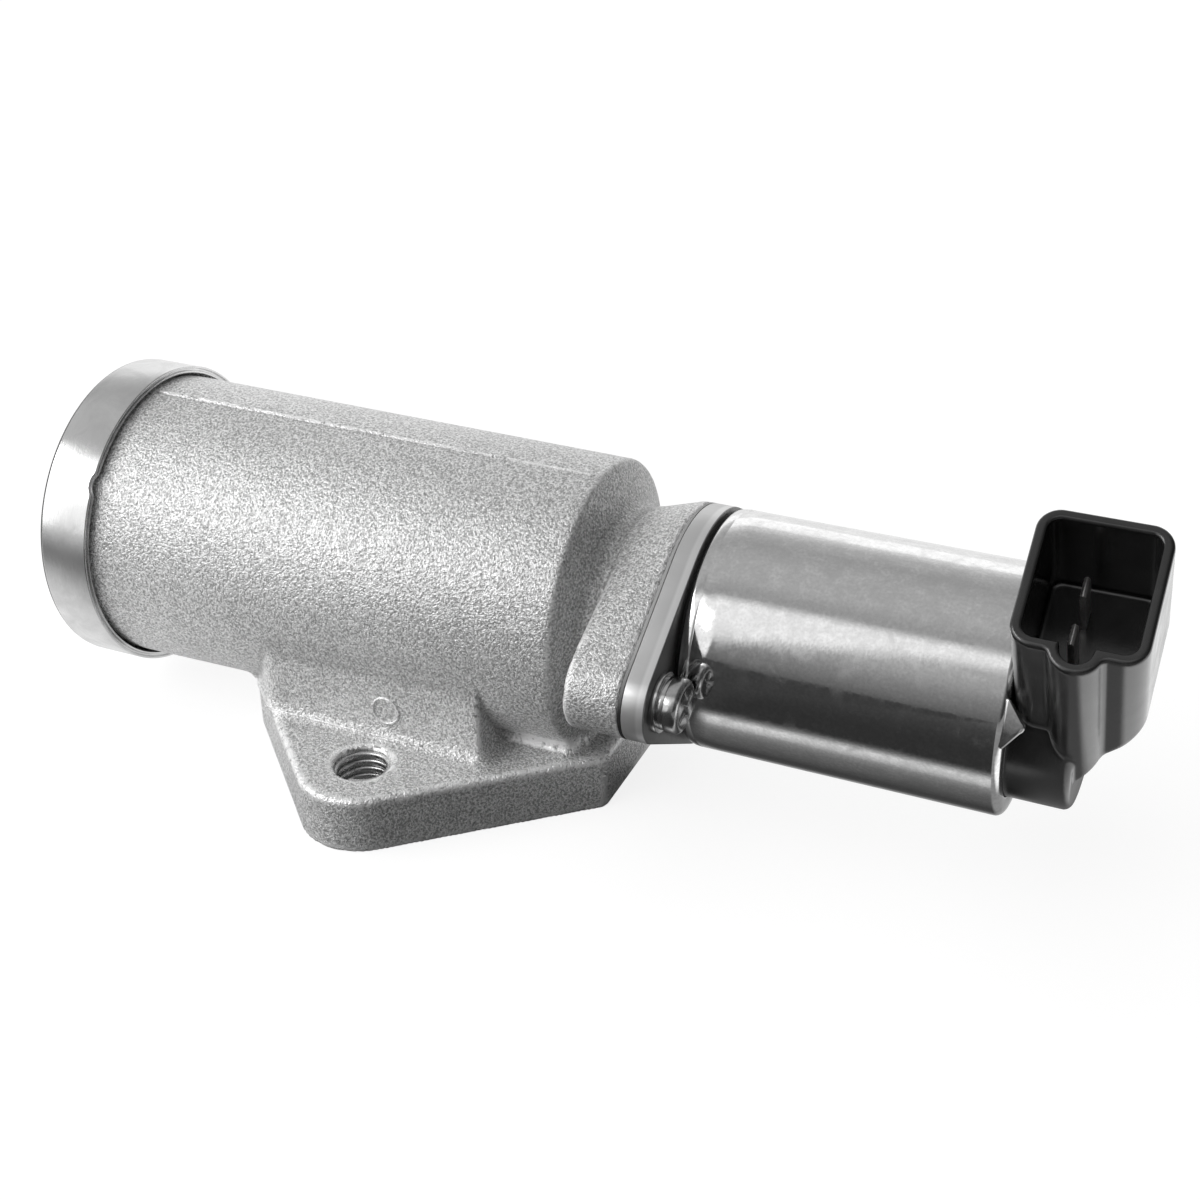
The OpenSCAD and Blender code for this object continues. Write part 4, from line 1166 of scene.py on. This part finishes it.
# The camera, in metres, as fitted to the photograph from the part's own edges
CAMERA_PLACE = (0.119265, -0.212416, 0.159887)
CAMERA_FORWARD = (-0.34937, 0.79481, -0.49620)
CAMERA_UP = (-0.19195, 0.45762, 0.86818)
CAMERA_LENS = 54
CAMERA_SENSOR = 36

# Grey levels that bright metal mirrors. The sky's go by the angle from straight up towards the front, in
# degrees. The floor's are a painted reflection with a painted shadow under the can, and go by the place
# across the part, in millimetres, at its solenoid's end and its cap's.
SKY = ((-180, 0.95), (-66, 0.95), (-58, 0.72), (-50, 0.50), (-34, 0.38), (-10, 0.46), (10, 0.46),
       (22, 0.36), (30, 0.36), (54, 0.45), (62, 0.38), (74, 0.24), (90, 0.13), (110, 0.08), (180, 0.08))
FLOOR_RIGHT = ((-500, 0.10), (-120, 0.05), (-60, 0.035), (-37, 0.035), (-33, 0.25), (-30, 0.75),
               (-26, 0.60), (-23, 0.26), (-19, 0.16), (-13, 0.10), (-7, 0.045), (-3, 0.08), (-1, 0.22),
               (4, 0.44), (12, 0.78), (60, 0.90))
FLOOR_LEFT = ((-500, 0.50), (-250, 0.35), (-110, 0.17), (-80, 0.24), (-60, 0.46), (-38, 0.82),
              (-25, 0.95), (60, 0.90))

# The sky's white band, in degrees: where it begins, where it ends on the left and on the right, and how
# softly it ends
BAND_START = (27.0, 35.0)
BAND_END = (88.0, 44.0)
BAND_FADE = (-4.0, 6.0)


def world():
    """White for the camera, a sky of grey bands for bright metal, and a soft fill for all other rays.

    The bands are darker towards the right. The fill is weaker from the right and from behind.
    """
    studio = bpy.data.worlds.new("studio")
    bpy.context.scene.world = studio
    studio.use_nodes = True
    t = Tree(studio.node_tree)
    t.nodes.clear()
    way = t.node("ShaderNodeTexCoord").outputs["Generated"]
    split = t.node("ShaderNodeSeparateXYZ", {"Vector": way}).outputs
    angle = t.math("ARCTAN2", t.times(split["Y"], -1.0), split["Z"])
    angle = t.times(angle, 180 / math.pi)
    past_end = t.math("SUBTRACT", angle, t.span(split["X"], -0.40, -0.165, *BAND_END))
    band = t.times(t.span(angle, *BAND_START), t.span(past_end, *BAND_FADE, 1.0, 0.0))
    level = t.blend(band, t.ramp(angle, SKY), 1.0)
    level = t.times(level, t.span(split["X"], 0.1, 0.55, 1.0, 0.22))
    seen = t.node("ShaderNodeBackground", {"Strength": level}).outputs[0]
    from_left = t.span(split["X"], -0.4, 0.25, 1.45, 0.03)
    from_front = t.span(split["Y"], -0.9, 0.0, 1.8, 1.05)
    soft = t.times(from_left, from_front)
    fill = t.node("ShaderNodeBackground", {"Strength": soft}).outputs[0]
    white = t.node("ShaderNodeBackground", {"Strength": 1.0}).outputs[0]
    for node in t.nodes:
        if node.type == "BACKGROUND":
            node.inputs["Color"].default_value = (1, 1, 1, 1)
    shown = t.choose("Is Camera Ray", t.choose("Is Glossy Ray", fill, seen), white)
    t.node("ShaderNodeOutputWorld", {"Surface": shown})


def floor():
    """A pale floor that the camera sees as white, with the part's soft shadow on it.

    Bright metal mirrors it in greys that go by the place on it, a painted reflection with a painted shadow
    under the can. Its own grey, which lights the part from below, is painted darker to the right as painted
    shade.
    """
    half, level = 1500, -0.02
    corners = [(-half, -half, level), (half, -half, level), (half, half, level), (-half, half, level)]
    piece = new_piece("floor", corners, [[0, 1, 2, 3]], smooth=False)
    f = Finish("pale_floor", (0.86, 0.86, 0.86), 0.0, 0.9)
    where = f.where()
    x, y = where["X"], where["Y"]
    # Painted shade: the floor's own grey darkens to 0.06 towards the right, which darkens what it throws
    # back onto the part.
    f.colour(f.blend(f.span(x, -50 * MM, 30 * MM), 0.86, 0.06))
    glow = f.node("ShaderNodeEmission", {"Color": (1, 1, 1, 1), "Strength": 0.84}).outputs[0]
    thin = f.node("ShaderNodeBsdfDiffuse", {"Color": (0.22, 0.22, 0.22, 1)}).outputs[0]
    shadowed = f.node("ShaderNodeAddShader", {0: glow, 1: thin}).outputs[0]
    # Painted reflection: greys that the floor glows with for glossy rays only, 0.05 under the can as a
    # painted shadow, 0.28 right of the connector and 1.25 past the socket as a painted highlight.
    source = f.math("SUBTRACT", x, f.times(f.math("MINIMUM", y, 0.0), 0.44))
    across = f.math("DIVIDE", y, MM)
    off_can = f.math("MAXIMUM", f.span(x, 34 * MM, 42 * MM), f.span(across, -14, -6))
    under_can = f.blend(off_can, 0.05, f.ramp(across, FLOOR_RIGHT))
    grey = f.blend(f.span(source, -70 * MM, 22 * MM), f.ramp(across, FLOOR_LEFT), under_can)
    grey = f.blend(f.span(x, 89 * MM, 93 * MM), grey, 0.28)
    past_socket = f.times(f.span(x, 103 * MM, 110 * MM), f.span(y, -55 * MM, -25 * MM))
    grey = f.blend(past_socket, grey, 1.25)
    painted_reflection = f.node("ShaderNodeEmission", {"Strength": grey}).outputs[0]
    shown = f.choose("Is Camera Ray", f.choose("Is Glossy Ray", f.shader.outputs[0], painted_reflection), shadowed)
    f.links.new(shown, f.nodes["Material Output"].inputs["Surface"])
    piece.data.materials.append(f.material)
    return piece


def softbox(name, place, target, size, power):
    """A soft rectangular lamp that looks at a target; lengths in metres."""
    lamp = bpy.data.lights.new(name, "AREA")
    lamp.shape = "RECTANGLE"
    lamp.size, lamp.size_y = size
    lamp.energy = power
    box = bpy.data.objects.new(name, lamp)
    box.location = place
    aim = Vector(target) - Vector(place)
    box.rotation_euler = aim.to_track_quat("-Z", "Y").to_euler()
    bpy.context.scene.collection.objects.link(box)
    return box


def stage():
    camera()
    world()
    floor()
    softbox("key", (-0.42, -0.38, 0.40), (0.0, 0, 0.03), (0.5, 0.16), 0.95)
    softbox("back", (0.0, 0.62, 0.26), (0.02, 0, 0.03), (0.9, 0.22), 0.15)
    softbox("side", (-0.55, -0.30, 0.22), (0.0, 0, 0.03), (0.4, 0.4), 0.40)
    bpy.context.scene.view_settings.view_transform = "Standard"


finish_nodes()
casting()
end_cap()
solenoid_can()
connector()
small_parts()
return_spring()
stage()
